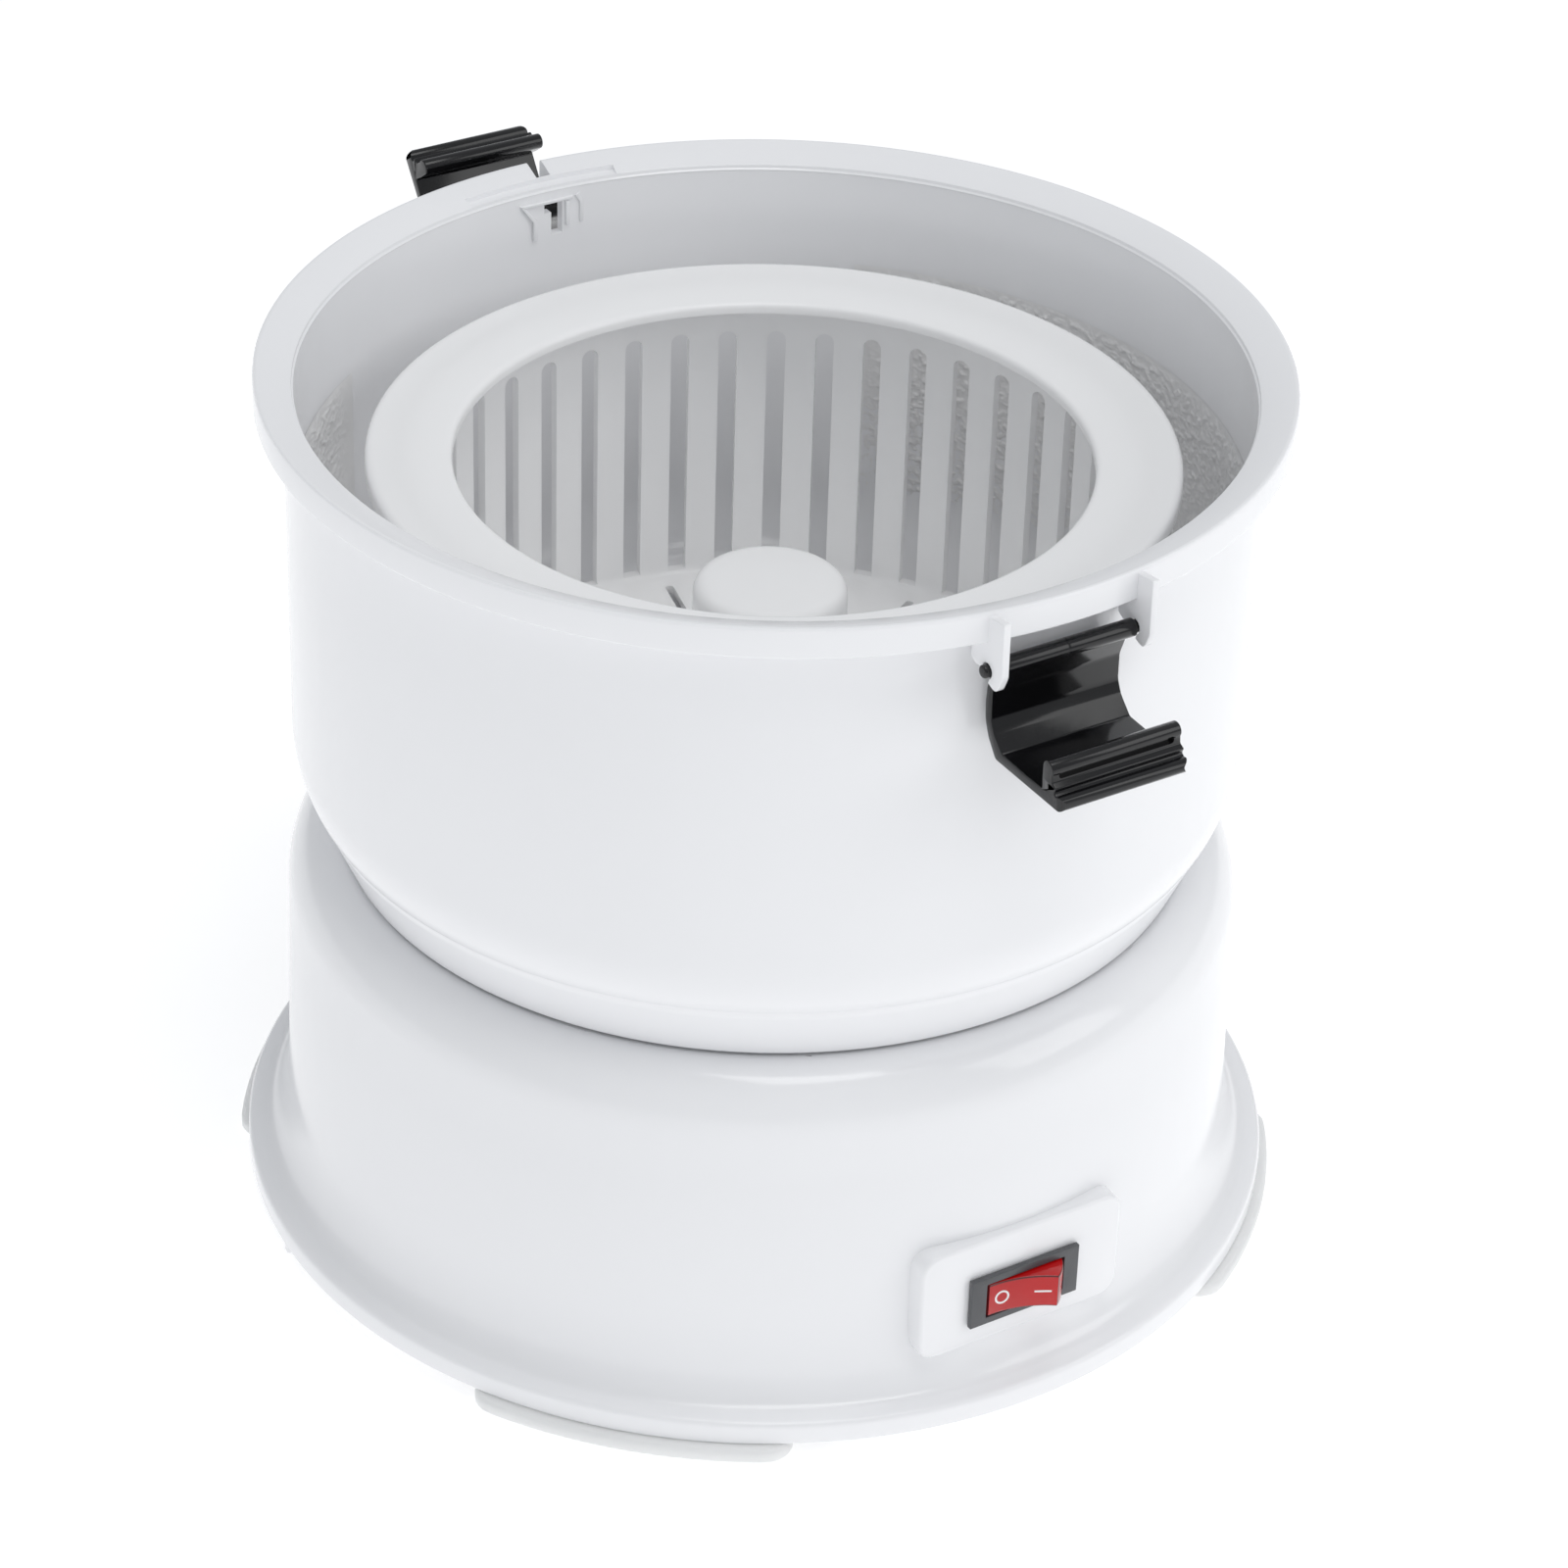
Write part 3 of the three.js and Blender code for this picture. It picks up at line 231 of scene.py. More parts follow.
def bevelled(piece, width):
    """Rounds a CAD node's hard edges."""
    modifier = piece.modifiers.new("edges", "BEVEL")
    modifier.width = width * MM
    modifier.segments = 2
    modifier.limit_method = "ANGLE"
    modifier.angle_limit = math.radians(40)


# ---------------------------------------------------------------- materials
MOTTLE_SCALE = 18.0  # size of the colour mottling, in cells per metre
GRAIN_DEPTH = 0.0002  # metres
EDGE_RANGE = 0.53, 0.62  # pointiness where wear starts and where it is full


def material(name, colour, roughness, settings=None, mottle=0.03, speckle=220.0, bump=0.03,
             wear=0.25, grain=900.0):
    """A moulded or metal surface: faint colour mottling, uneven gloss, fine grain and rubbed edges."""
    made = bpy.data.materials.new(name)
    made.use_nodes = True
    nodes, links = made.node_tree.nodes, made.node_tree.links
    shader = nodes["Principled BSDF"]
    for socket, value in (settings or {}).items():
        shader.inputs[socket].default_value = value
    place = nodes.new("ShaderNodeTexCoord")

    def cloud(scale, detail):
        texture = nodes.new("ShaderNodeTexNoise")
        texture.inputs["Scale"].default_value = scale
        texture.inputs["Detail"].default_value = detail
        links.new(place.outputs["Object"], texture.inputs["Vector"])
        return texture.outputs["Fac"]

    def mapped(source, low, high, from_low=0.3, from_high=0.7):
        node = nodes.new("ShaderNodeMapRange")
        node.inputs["From Min"].default_value = from_low
        node.inputs["From Max"].default_value = from_high
        node.inputs["To Min"].default_value = low
        node.inputs["To Max"].default_value = high
        links.new(source, node.inputs["Value"])
        return node.outputs["Result"]

    mix = nodes.new("ShaderNodeMix")
    mix.data_type = "RGBA"
    darker = [c * (1 - mottle) for c in colour]
    mix.inputs["A"].default_value = (*darker, 1)
    mix.inputs["B"].default_value = (*colour, 1)
    links.new(mapped(cloud(MOTTLE_SCALE, 4.0), 0.0, 1.0), mix.inputs["Factor"])
    rubbed = nodes.new("ShaderNodeMix")
    rubbed.data_type = "RGBA"
    links.new(mix.outputs["Result"], rubbed.inputs["A"])
    rubbed.inputs["B"].default_value = (*[min(1, c * 0.85 + 0.12) for c in colour], 1)
    geometry = nodes.new("ShaderNodeNewGeometry")
    edge = mapped(geometry.outputs["Pointiness"], 0.0, wear, *EDGE_RANGE)
    links.new(edge, rubbed.inputs["Factor"])
    links.new(rubbed.outputs["Result"], shader.inputs["Base Color"])
    links.new(mapped(cloud(speckle, 3.0), roughness * 0.92, roughness * 1.1),
              shader.inputs["Roughness"])
    relief = nodes.new("ShaderNodeBump")
    relief.inputs["Strength"].default_value = bump
    relief.inputs["Distance"].default_value = GRAIN_DEPTH
    links.new(cloud(grain, 2.0), relief.inputs["Height"])
    links.new(relief.outputs["Normal"], shader.inputs["Normal"])
    return made


CLEAR_COAT = {"Coat Weight": 0.25, "Coat Roughness": 0.12}
SOFT = {"Subsurface Weight": 0.12, "Subsurface Scale": 0.004, "Subsurface Radius": (1, 1, 1),
        "IOR": 1.46}
white = material("white_abs", (0.915, 0.918, 0.935), 0.16, {**SOFT, **CLEAR_COAT}, mottle=0.012,
                 speckle=25.0, bump=0.01, wear=0.0)
inner_white = material("white_basket", (0.97, 0.97, 0.972), 0.22,
                       {**SOFT, "Subsurface Weight": 0.35, "Subsurface Scale": 0.006}, mottle=0.015,
                       speckle=25.0, bump=0.01, wear=0.0)
rough_white = material("rough_patch", (0.91, 0.905, 0.9), 0.5, SOFT, mottle=0.06, bump=0.3,
                       speckle=400.0, grain=420.0, wear=0.0)
black = material("black_abs", (0.003, 0.003, 0.0035), 0.15,
                 {"IOR": 1.46, "Specular IOR Level": 0.32}, mottle=0.3,
                 wear=0.05, bump=0.06, grain=350.0)
charcoal = material("charcoal_bezel", (0.035, 0.037, 0.042), 0.42, {"IOR": 1.5}, mottle=0.1,
                    wear=0.1, bump=0.15, grain=1500.0)
red = material("red_clear", (0.55, 0.002, 0.003), 0.09, {"IOR": 1.45, "Specular IOR Level": 0.35},
               mottle=0.45, wear=0.0, bump=0.02, speckle=300.0)
# dark red for the rocker's edge lines: painted shade standing in for the clear red darkening at its edges
painted_edge_shade = material("red_painted_edge_shade", (0.09, 0.004, 0.005), 0.2, {"IOR": 1.49}, mottle=0.2, wear=0.0)
print_white = material("marking", (0.88, 0.86, 0.86), 0.4, {}, mottle=0.04, wear=0.0)
silicone = material("silicone", (0.93, 0.94, 0.935), 0.4, {
    "Transmission Weight": 0.15, "Subsurface Weight": 0.6, "Subsurface Scale": 0.008,
    "Subsurface Radius": (1, 1, 1), "IOR": 1.41}, mottle=0.05, bump=0.1)
rubber = material("rubber", (0.02, 0.02, 0.021), 0.7, {}, mottle=0.2, bump=0.2, grain=1200.0)
nylon = material("nylon", (0.72, 0.70, 0.64), 0.5, SOFT, mottle=0.05, bump=0.1)
STEEL = {"Metallic": 1.0}
steel = material("steel", (0.55, 0.56, 0.58), 0.28, STEEL, mottle=0.12, bump=0.08, grain=2000.0)
zinc = material("zinc_plate", (0.60, 0.61, 0.62), 0.42, STEEL, mottle=0.25, bump=0.12)
bronze = material("bronze", (0.45, 0.28, 0.13), 0.45, STEEL, mottle=0.25, bump=0.2)
ferrite = material("ferrite", (0.06, 0.06, 0.065), 0.65, {"Metallic": 0.3}, mottle=0.3, bump=0.3)
copper = material("copper", (0.55, 0.24, 0.11), 0.35, STEEL, mottle=0.3, bump=0.2)

by_slot = {
    "white_shell": white, "white_basket": inner_white, "black_gloss_plastic": black,
    "charcoal_plastic": charcoal, "red_clear_plastic": red, "silicone_foot": silicone,
    "black_rubber": rubber, "nylon": nylon, "steel": steel, "zinc_plate": zinc,
    "bronze": bronze, "magnet": ferrite, "copper": copper,
}
for row in frame["record"]["subparts"]:
    node = frame["nodes"][row["node"]]
    node.data.materials.clear()
    node.data.materials.append(by_slot[row["material_slot"]])
for name in ("drive_dog", "driven_dog", "basket_driver", "output_shaft", "spindle", "motor_can"):
    bevelled(frame["nodes"][name], width=0.35)


def fit(piece, body, slot, *nodes, finish=None):
    """Gives a piece its material, from its slot unless a finish is given, and its body, and lets it stand
    for CAD nodes.
    """
    piece.data.materials.clear()
    piece.data.materials.append(finish or by_slot[slot])
    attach(piece, body)
    if nodes:
        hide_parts(*nodes)


# ---------------------------------------------------------------- base
FLANGE, WALL, WALL_INSIDE = 132.8, 121.7, 119.1  # outer radii and the hollow's radius
DECK, UNDER_DECK = 95, 92  # heights of the deck's top and underside
SHOULDER = JOINT - 0.3  # the base stops a hair under the bowl
PAD_UP, PAD_DEPTH = 31, 9  # the pad's middle and how far it reaches into the wall
NUB_AZIMUTH, NUB_OUT = -95, 131.4


def base_shell():
    """The motor base: flange, wall, shoulder and deck, with the switch pad and its openings."""
    outline = filleted([(130.2, 0), (FLANGE, 0, 0.6), (FLANGE, 5.9, 1.9), (129.0, 6.6)], 6)[1:]
    outline += bend((128.6, 6.65), (121.9, 7.6), (WALL, 25))
    outline += bend((120.3, 80.2), (120.1, SHOULDER), (107.4, SHOULDER), 14, first=0.12)
    outline += filleted([(106.9, SHOULDER, 0.3), (106.9, JOINT - 0.6), (103.3, JOINT - 0.6),
                         (103.3, 101.5, 0.6), (100.3, 101.5, 0.6), (100.3, DECK, 1.0)])
    outline += filleted([(24, DECK, 1.2), (24, 83, 1.0), (8, 83, 0.5), (8, 80), (27, 80, 1),
                         (27, UNDER_DECK, 1)])
    outline += bend((117.7, 80.7), (117.7, UNDER_DECK), (103.9, UNDER_DECK))[::-1]
    outline += [(WALL_INSIDE, 25), (WALL_INSIDE, 0.4), (WALL, 0.4), (WALL, 10), (129.2, 3.0),
                (130.2, 0.0)]
    shell = lathed("base_shell", outline)
    pad = slab("pad", rectangle(58, 31, 6), -PAD_DEPTH, 0, 1.1, facing(FRONT, PAD_UP, PAD_FACE))
    combine(shell, pad, "UNION")
    inside = lathed("inside", [(1, 4), (WALL_INSIDE, 4), (WALL_INSIDE, 70), (1, 70)])
    combine(shell, inside, "DIFFERENCE")
    can = slab("can", rectangle(27.6, 12.8, 0.4), -20, 20, 0, facing(FRONT, SWITCH_UP, PAD_FACE))
    combine(shell, can, "DIFFERENCE")
    gland = slab("gland", arc(0, 0, 6.3, 0, 352.5, 47), -20, 20, 0, facing(REAR, 36, 120))
    combine(shell, gland, "DIFFERENCE")
    turn = Matrix.Rotation(math.radians(NUB_AZIMUTH), 4, "Z")
    nub = slab("nub", rectangle(2.6, 2.4, 0.8), -2.3, 2, 0.5,
               turn @ Matrix.Translation((0, -NUB_OUT, 0)))
    combine(shell, nub, "UNION")
    fit(shell, "base", "white_shell", "base_housing")


SCREW_CIRCLE = 0.104  # metres from the axis to a cover screw
VENT_ROWS, VENT_PITCH, VENT_OUT, VENT_SIDE = (-1, 0, 1), 9, 70, 30


def base_plate():
    """The underside's cover, with two groups of vent slots and four screw holes."""
    plate = lathed("base_cover", filleted([(0, 0), (118.4, 0, 0.5), (118.4, 3, 0.5), (0, 3)]), 128)
    cutters = []
    for side in (-1, 1):
        for row in VENT_ROWS:
            slot = slab("slot", rectangle(36, 3, 1.45), -2, 5)
            slot.data.transform(Matrix.Translation(
                (side * VENT_SIDE * MM, (VENT_OUT + row * VENT_PITCH) * MM, 0)))
            cutters.append(slot)
    for angle in (30, 150, 210, 330):
        hole = lathed("hole", [(0, -1), (2.3, -1), (2.3, 5), (0, 5)], 32)
        turn = math.radians(angle)
        hole.data.transform(Matrix.Translation(
            (SCREW_CIRCLE * math.sin(turn), -SCREW_CIRCLE * math.cos(turn), 0)))
        cutters.append(hole)
    combine(plate, merged("cutters", cutters), "DIFFERENCE")
    fit(plate, "base", "white_shell", "base_plate")


def feet():
    """Soft curved pads under the flange, each with rounded ends and rounded rims."""
    middle, half = 128.2, 7.1  # the pad's middle radius and half its width
    low, high = -4.25, -0.3
    for i, angle in enumerate((45, 135, 225, 315)):
        outline = arc(0, 0, middle + half, -104.6, -75.4, 28)
        end = math.radians(-75.2)
        outline += arc(middle * math.cos(end), middle * math.sin(end), half, -75, 105, 12)[1:-1]
        outline += arc(0, 0, middle - half, -75.4, -104.6, 28)
        end = math.radians(-104.8)
        outline += arc(middle * math.cos(end), middle * math.sin(end), half, 75, 255, 12)[1:-1]
        turn = Matrix.Rotation(math.radians(angle), 4, "Z")
        foot = slab(f"foot_pad_{i + 1}", outline, low, high, 1.2, turn)
        fit(foot, "base", "silicone_foot", f"foot_{i + 1}")


def screws():
    """Pan heads with a cross recess, at the CAD screws' places."""
    head_height = 2
    for node in [n for n in frame["nodes"] if n.startswith(("base_screw", "tower_screw"))]:
        low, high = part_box(node)
        up = 1 if node.startswith("tower") else -1
        middle = (low + high) / 2
        face = high.z if up > 0 else low.z
        head = lathed(node + "_head", filleted([(0, 0), (3.8, 0, 0.2), (3.8, head_height, 1.2),
                                                (0, head_height)]), 40)
        cross = merged("cross", [slab("bar", rectangle(4.2, 0.9, 0.2), 0.9, 3),
                                 slab("bar", rectangle(0.9, 4.2, 0.2), 0.9, 3)])
        combine(head, cross, "DIFFERENCE")
        shank = lathed("shank", filleted([(0, 0.1), (0, -12), (1.6, -12), (1.9, -11), (1.9, 0.1)]), 24)
        whole = merged(node + "_piece", [head, shank])
        shade(whole)
        if up < 0:
            whole.data.transform(Matrix.Rotation(math.pi, 4, "X"))
        seat = face - up * head_height * MM
        whole.data.transform(Matrix.Translation((middle.x, middle.y, seat)))
        fit(whole, "base", "zinc_plate", node)


def cord_gland():
    """The rubber ring in the rear wall, with a collar on its outside."""
    gland = lathed("gland_piece", filleted([(3.6, -8, 0.4), (6, -8, 0.6), (6, 0.3, 0.2),
                                            (8.4, 0.3, 0.6), (8.4, 2.2, 1.0), (3.6, 2.2, 0.8)]), 64)
    low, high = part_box("cord_gland")
    gland.data.transform(Matrix.Translation((0, high.y - 2.3 * MM, (low.z + high.z) / 2)) @
                         Matrix.Rotation(-math.pi / 2, 4, "X"))
    fit(gland, "base", "black_rubber", "cord_gland")


# ---------------------------------------------------------------- switch
ROCKER_TILT = -17  # degrees at rest, with the ring's side pressed in
ROCKER_RIM, ROCKER_HALF, ROCKER_DIP = 11.7, 8.7, 1.4  # radius of its ends, half length, dish
FACE_EDGE = math.sqrt(ROCKER_RIM ** 2 - ROCKER_HALF ** 2)  # the face's ends above the pivot
MARK_OFFSET = 5.2  # from the pivot to the middle of each mark


def face_height(x):
    """How far the rocker's dished face stands above the pivot."""
    return FACE_EDGE - ROCKER_DIP * (1 - (x / ROCKER_HALF) ** 2)


def switch_body():
    """The frame and can of the snap-in switch."""
    place = facing(FRONT, SWITCH_UP, BEZEL_FACE)
    bezel = slab("bezel", [(15.5, -7), (15.5, 7), (-15.5, 7), (-15.5, -7)], -1.6, 0, 0.2, place)
    can = slab("switch_can", rectangle(27, 12.2, 0.4), -18.3, -1.5, 0.2, place)
    combine(bezel, can, "UNION")
    combine(bezel, slab("opening", rectangle(22.6, 10.2, 0.4), -13.5, 2, 0, place), "DIFFERENCE")
    combine(bezel, slab("chamber", rectangle(24.8, 10.2, 0.4), -13.6, -2, 0, place), "DIFFERENCE")
    bezel.name = "switch_body"
    fit(bezel, "base", "charcoal_plastic", "switch_housing")


def switch_rocker():
    """The dished rocker, with painted shade as dark lines along its face's edges."""
    tilt = Matrix.Rotation(math.radians(ROCKER_TILT), 4, "Z")
    at = Matrix.Translation((0, -PIVOT_OUT, SWITCH_UP)) @ tilt
    edge_turn = math.degrees(math.atan2(FACE_EDGE, ROCKER_HALF))
    stations = [ROCKER_HALF * (1 - k / 12) for k in range(1, 24)]
    outline = arc(0, 0, ROCKER_RIM, -8, edge_turn, 14)
    outline += [(x, face_height(x)) for x in stations]
    outline += arc(0, 0, ROCKER_RIM, 180 - edge_turn, 188, 14)
    outline += [(0, -ROCKER_RIM / 3)]
    rocker = slab("rocker", outline, -4.7, 4.7, 0.45, at @ HALF_TURN)
    fit(rocker, "rocker", "red_clear_plastic", "switch_rocker")
    rocker.data.materials.append(painted_edge_shade)
    back = (Matrix.Scale(MM, 4) @ at @ HALF_TURN).inverted()
    rocker.data.update()
    # faces on the rims and at the ends of the dished face get the dark red, as painted shade
    for polygon in rocker.data.polygons:
        middle = back @ polygon.center
        turn = math.degrees(math.atan2(middle.y, abs(middle.x)))
        rim_shade = 0.12 < abs(polygon.normal.z) < 0.95
        end_shade = middle.xy.length > ROCKER_RIM - 0.3 and 0 < edge_turn - turn < 3
        polygon.material_index = int(rim_shade or end_shade)


def rocker_marks():
    """A ring for off and a bar for on, laid on the rocker's face."""
    tilt = Matrix.Rotation(math.radians(ROCKER_TILT), 4, "Z")
    marks = []
    ring = lathed("mark", filleted([(1.45, -0.1), (1.95, -0.1), (1.95, 0.06), (1.45, 0.06)]), 48)
    bar = slab("mark", rectangle(4.2, 0.5, 0.12), -0.1, 0.06)
    for mark, x in ((ring, -MARK_OFFSET), (bar, MARK_OFFSET)):
        slope = 2 * ROCKER_DIP * x / ROCKER_HALF ** 2
        lean = Matrix.Rotation(math.atan(slope), 4, "Z")
        upright = Matrix.Rotation(math.pi / 2, 4, "X")
        outwards = Matrix.Translation((x * MM, -(face_height(x) + 0.02) * MM, 0))
        metres = Matrix.Translation((0, -PIVOT_OUT * MM, SWITCH_UP * MM)) @ tilt
        mark.data.transform(metres @ outwards @ lean.inverted() @ upright)
        marks.append(mark)
    whole = merged("rocker_marks", marks)
    fit(whole, "rocker", "red_clear_plastic", finish=print_white)


# ---------------------------------------------------------------- bowl
def ear(azimuth, along, fall):
    """A thin upright plate on the rim that hooks under the latch's pin; fall lowers its outer corner."""
    out, up = LATCH_OUT, LATCH_UP
    seat = 1.95  # radius of the pin's seat
    outline = filleted([
        (117.0, RIM - 6), (123.0, RIM - 1.3, 0.5), (129.2, RIM - fall, 0.5), (129.4, up + 0.5, 3.5),
        (127.4, up - 4.2, 2.2), (out + 0.2, up - 2.9, 0.5), (out - 1.2, up - 2.6, 0.4),
        (117.0, up + 0.5),
    ])
    plate = slab("ear", outline, -0.95, 0.95, 0.25, sideways(FRONT))
    hole = slab("seat", arc(out, up, seat, 0, 352.5, 47), -2, 2, 0, sideways(FRONT))
    combine(plate, hole, "DIFFERENCE")
    throat = slab("throat", [(out - 1.7, up), (out + 1.2, up - 1.2), (out - 1.2, up - 8),
                             (out - 9, up - 8), (out - 9, up - 1)], -2, 2, 0, sideways(FRONT))
    combine(plate, throat, "DIFFERENCE")
    turn = Matrix.Rotation(math.radians(azimuth), 4, "Z")
    plate.data.transform(turn @ Matrix.Translation((along * MM, 0, 0)))
    return plate


EAR_FALLS = (FRONT, 0.5), (REAR, 4.6)  # how far the ears' outer corner lies under the rim
WINDOW_DROP = 9  # the key window's reference line under the rim
RECESS_HALF, RECESS_STEPS = 10.5, 24  # the shallow step in the rim's rear band, in degrees
RECESS_OUT, RECESS_IN, RECESS_DROP = 118.9, 112, 3.7


def bowl_shell():
    """The bowl in one moulding: wall, rim, ears, notch, key window, rim recess, floor and tube."""
    z = JOINT
    outline = filleted([(103.9, z, 0.4), (106.9, z, 0.4)])
    outline += bend((113.9, z + 16.2), (109.4, z + 6), (107.2, z + 0.9), 8)[::-1]
    outline += bend((118.2, z + 31), (117.8, z + 20.5), (113.95, z + 16.8), 10)[::-1]
    outline += filleted([
        (118.2, z + 119.8, 0.6), (122.6, z + 121.1, 0.5), (122.6, z + 119.5, 0.4),
        (125, z + 119.5, 0.5), (125, RIM, 0.9), (115.9, RIM - 3.6, 0.25), (115.8, RIM - 4.4, 0.2),
        (115.25, RIM - 4.9, 0.3),
    ])
    outline += bend((115.2, z + 30), (115.2, z + 10.5), (97, z + 10.5))
    outline += filleted([(14.5, z + 10.5, 1.5), (13, z + 14, 1.5), (13, z + 45, 0.8),
                         (10.6, z + 45, 0.5), (10.6, z + 7.5), (103.9, z + 7.5, 1.2)])
    shell = lathed("bowl_shell", outline)
    ears = [ear(azimuth, along, fall)
            for azimuth, fall in EAR_FALLS for along in (-EAR_ALONG, EAR_ALONG)]
    combine(shell, merged("ears", ears), "UNION")
    notch = slab("notch", rectangle(4, 24, 0.6), 119.2, 128, 0, facing(REAR, RIM))
    notch.data.transform(Matrix.Translation((2.4 * MM, 0, 0)))
    window = slab("window", [(-0.6, 0.6), (-5.8, 0.6), (-5.8, -8.2), (-2.6, -8.2), (-2.6, -2.0),
                             (-0.6, -2.0)], 112, 121, 0, facing(REAR, RIM - WINDOW_DROP))
    combine(shell, merged("cuts", [notch, window]), "DIFFERENCE")
    first, last = -90 - RECESS_HALF, -90 + RECESS_HALF
    outline = arc(0, 0, RECESS_OUT, first, last, RECESS_STEPS)
    outline += arc(0, 0, RECESS_IN, last, first, RECESS_STEPS)
    recess = slab("recess", outline, RIM - RECESS_DROP, RIM + 2, 0, HALF_TURN)
    combine(shell, recess, "DIFFERENCE")
    fit(shell, "bowl", "white_shell", "bowl")


def key_guide():
    """Low ribs on the wall round the small key window at the rear."""
    place = facing(REAR, RIM - WINDOW_DROP)
    top_rib = [(5.2, 0.9), (-8.6, 0.9), (-8.6, 1.7), (6.6, 1.7)]
    left_rib = [(5.2, 0.9), (6.6, 1.7), (3.0, -3.4), (3.0, -8.8), (1.9, -8.8), (1.9, -3.0)]
    right_rib = [(-9.4, 1.7), (-10.6, -0.4), (-10.6, -6.0), (-11.6, -6.0), (-11.6, 0), (-10.4, 2.4)]
    inner_rib = [(-6.6, 0.4), (-7.6, 0.4), (-7.6, -6.2), (-6.6, -6.2)]
    face, wall = 114.5, 115.5
    ribs = [slab("rib", top_rib, face + 0.1, wall, 0.2, place)]
    ribs += [slab("rib", outline, face, wall, 0.2, place) for outline in (left_rib, right_rib, inner_rib)]
    whole = merged("key_guide", ribs)
    shade(whole)
    fit(whole, "bowl", "white_shell")


PATCHES = (35, 138), (215, 318)  # azimuths where each rough patch starts and ends


def rough_patches():
    """The grater texture moulded on two opposite stretches of the inner wall."""
    columns, rows = 520, 260
    fade = 12  # the lumps grow over this many rows, and over one of this many parts of the length
    low, high = JOINT + 30, JOINT + 97
    under_wall, base_height, lump_height = 115.28, 0.12, 0.5
    for index, (first, last) in enumerate(PATCHES):
        bm = bmesh.new()
        grid = []
        for i in range(columns + 1):
            share = i / columns
            turn = math.radians(first + (last - first) * share)
            line = []
            for k in range(rows + 1):
                height = low + (high - low) * k / rows
                where = Vector((turn * 115, height, 7.3 * index))
                lump = noise.noise(where * 0.55) + 0.6 * noise.noise(where * 1.3)
                rim = min(1.0, fade * share, fade * (1 - share), k / fade, (rows - k) / fade)
                radius = under_wall - rim * max(0.0, base_height + lump_height * lump)
                line.append(bm.verts.new((radius * math.sin(turn), -radius * math.cos(turn), height)))
            grid.append(line)
        for i in range(columns):
            for k in range(rows):
                bm.faces.new([grid[i][k], grid[i][k + 1], grid[i + 1][k + 1], grid[i + 1][k]])
        patch = finished(f"rough_patch_{index + 1}", bm)
        fit(patch, "bowl", "white_shell", finish=rough_white)


# ---------------------------------------------------------------- basket
SLOTS, SLOT_HALF = 45, 2.4  # wall slots and half a slot's width
SLOT_LOW, SLOT_HIGH = JOINT + 18.8, JOINT + 88.8
FLOOR_SLOTS, FLOOR_SLOT_OUT = 8, 58.7  # floor slots and the radius of their middles
FLOOR_SLOT_PHASE = 0.7  # the first floor slot's place, as a share of their pitch


def basket():
    """The slotted wall with its floor and hub, and the wide ring that snaps on it."""
    z = JOINT
    wall = lathed("basket_piece", filleted([
        (92.4, z + 15.3, 5), (92.4, z + 101.8, 0.4), (90.2, z + 101.8, 0.4),
        (90.2, z + 17.5, 3.5), (22, z + 17.5, 2.5), (19.2, z + 22, 2), (19.2, z + 66.7, 4.2),
        (0, z + 67.5), (0, z + 60.3), (9.6, z + 60.3, 0.5), (9.6, z + 45.7, 0.5),
        (16.4, z + 45.7, 1), (16.4, z + 15.3, 0.6),
    ], 6), 180)
    cutters = []
    outline = [(SLOT_HALF, SLOT_LOW)] + arc(0, SLOT_HIGH - SLOT_HALF, SLOT_HALF, 0, 180, 10)
    outline += [(-SLOT_HALF, SLOT_LOW)]
    for k in range(SLOTS):
        cutters.append(slab("slot", outline, 84, 98, 0, facing(360 * (k + 0.5) / SLOTS)))
    for k in range(FLOOR_SLOTS):
        turn = Matrix.Rotation(math.radians(360 * (k + FLOOR_SLOT_PHASE) / FLOOR_SLOTS), 4, "Z")
        middle = Matrix.Translation((0, -FLOOR_SLOT_OUT, 0))
        cutters.append(slab("slot", rectangle(2.2, 51, 1.05), z + 12, z + 20, 0, turn @ middle))
    combine(wall, merged("slots", cutters), "DIFFERENCE")
    fit(wall, "basket", "white_basket", "basket")
    top = lathed("basket_ring_piece", filleted([
        (98.9, z + 99.7, 0.5), (98.9, z + 104.6, 2.2), (77.8, z + 102.9, 1.8),
        (77.8, z + 99.9, 0.5), (79.6, z + 99.9, 0.5), (88.2, z + 102.1, 0.2),
        (88.2, z + 99.1, 0.3), (89.9, z + 99.1, 0.3), (89.9, z + 102.1), (92.7, z + 102.1),
        (92.7, z + 99.1, 0.3), (94.3, z + 99.1, 0.3), (94.3, z + 102.1, 0.3),
        (96.9, z + 102.1, 0.3), (96.9, z + 99.7, 0.4),
    ], 6))
    fit(top, "basket", "white_basket", "basket_ring")


# ---------------------------------------------------------------- latches
LATCH_HALF = 17.4  # half the plate's width
REAR_SWING = 54  # degrees that the rear latch stands out from hanging


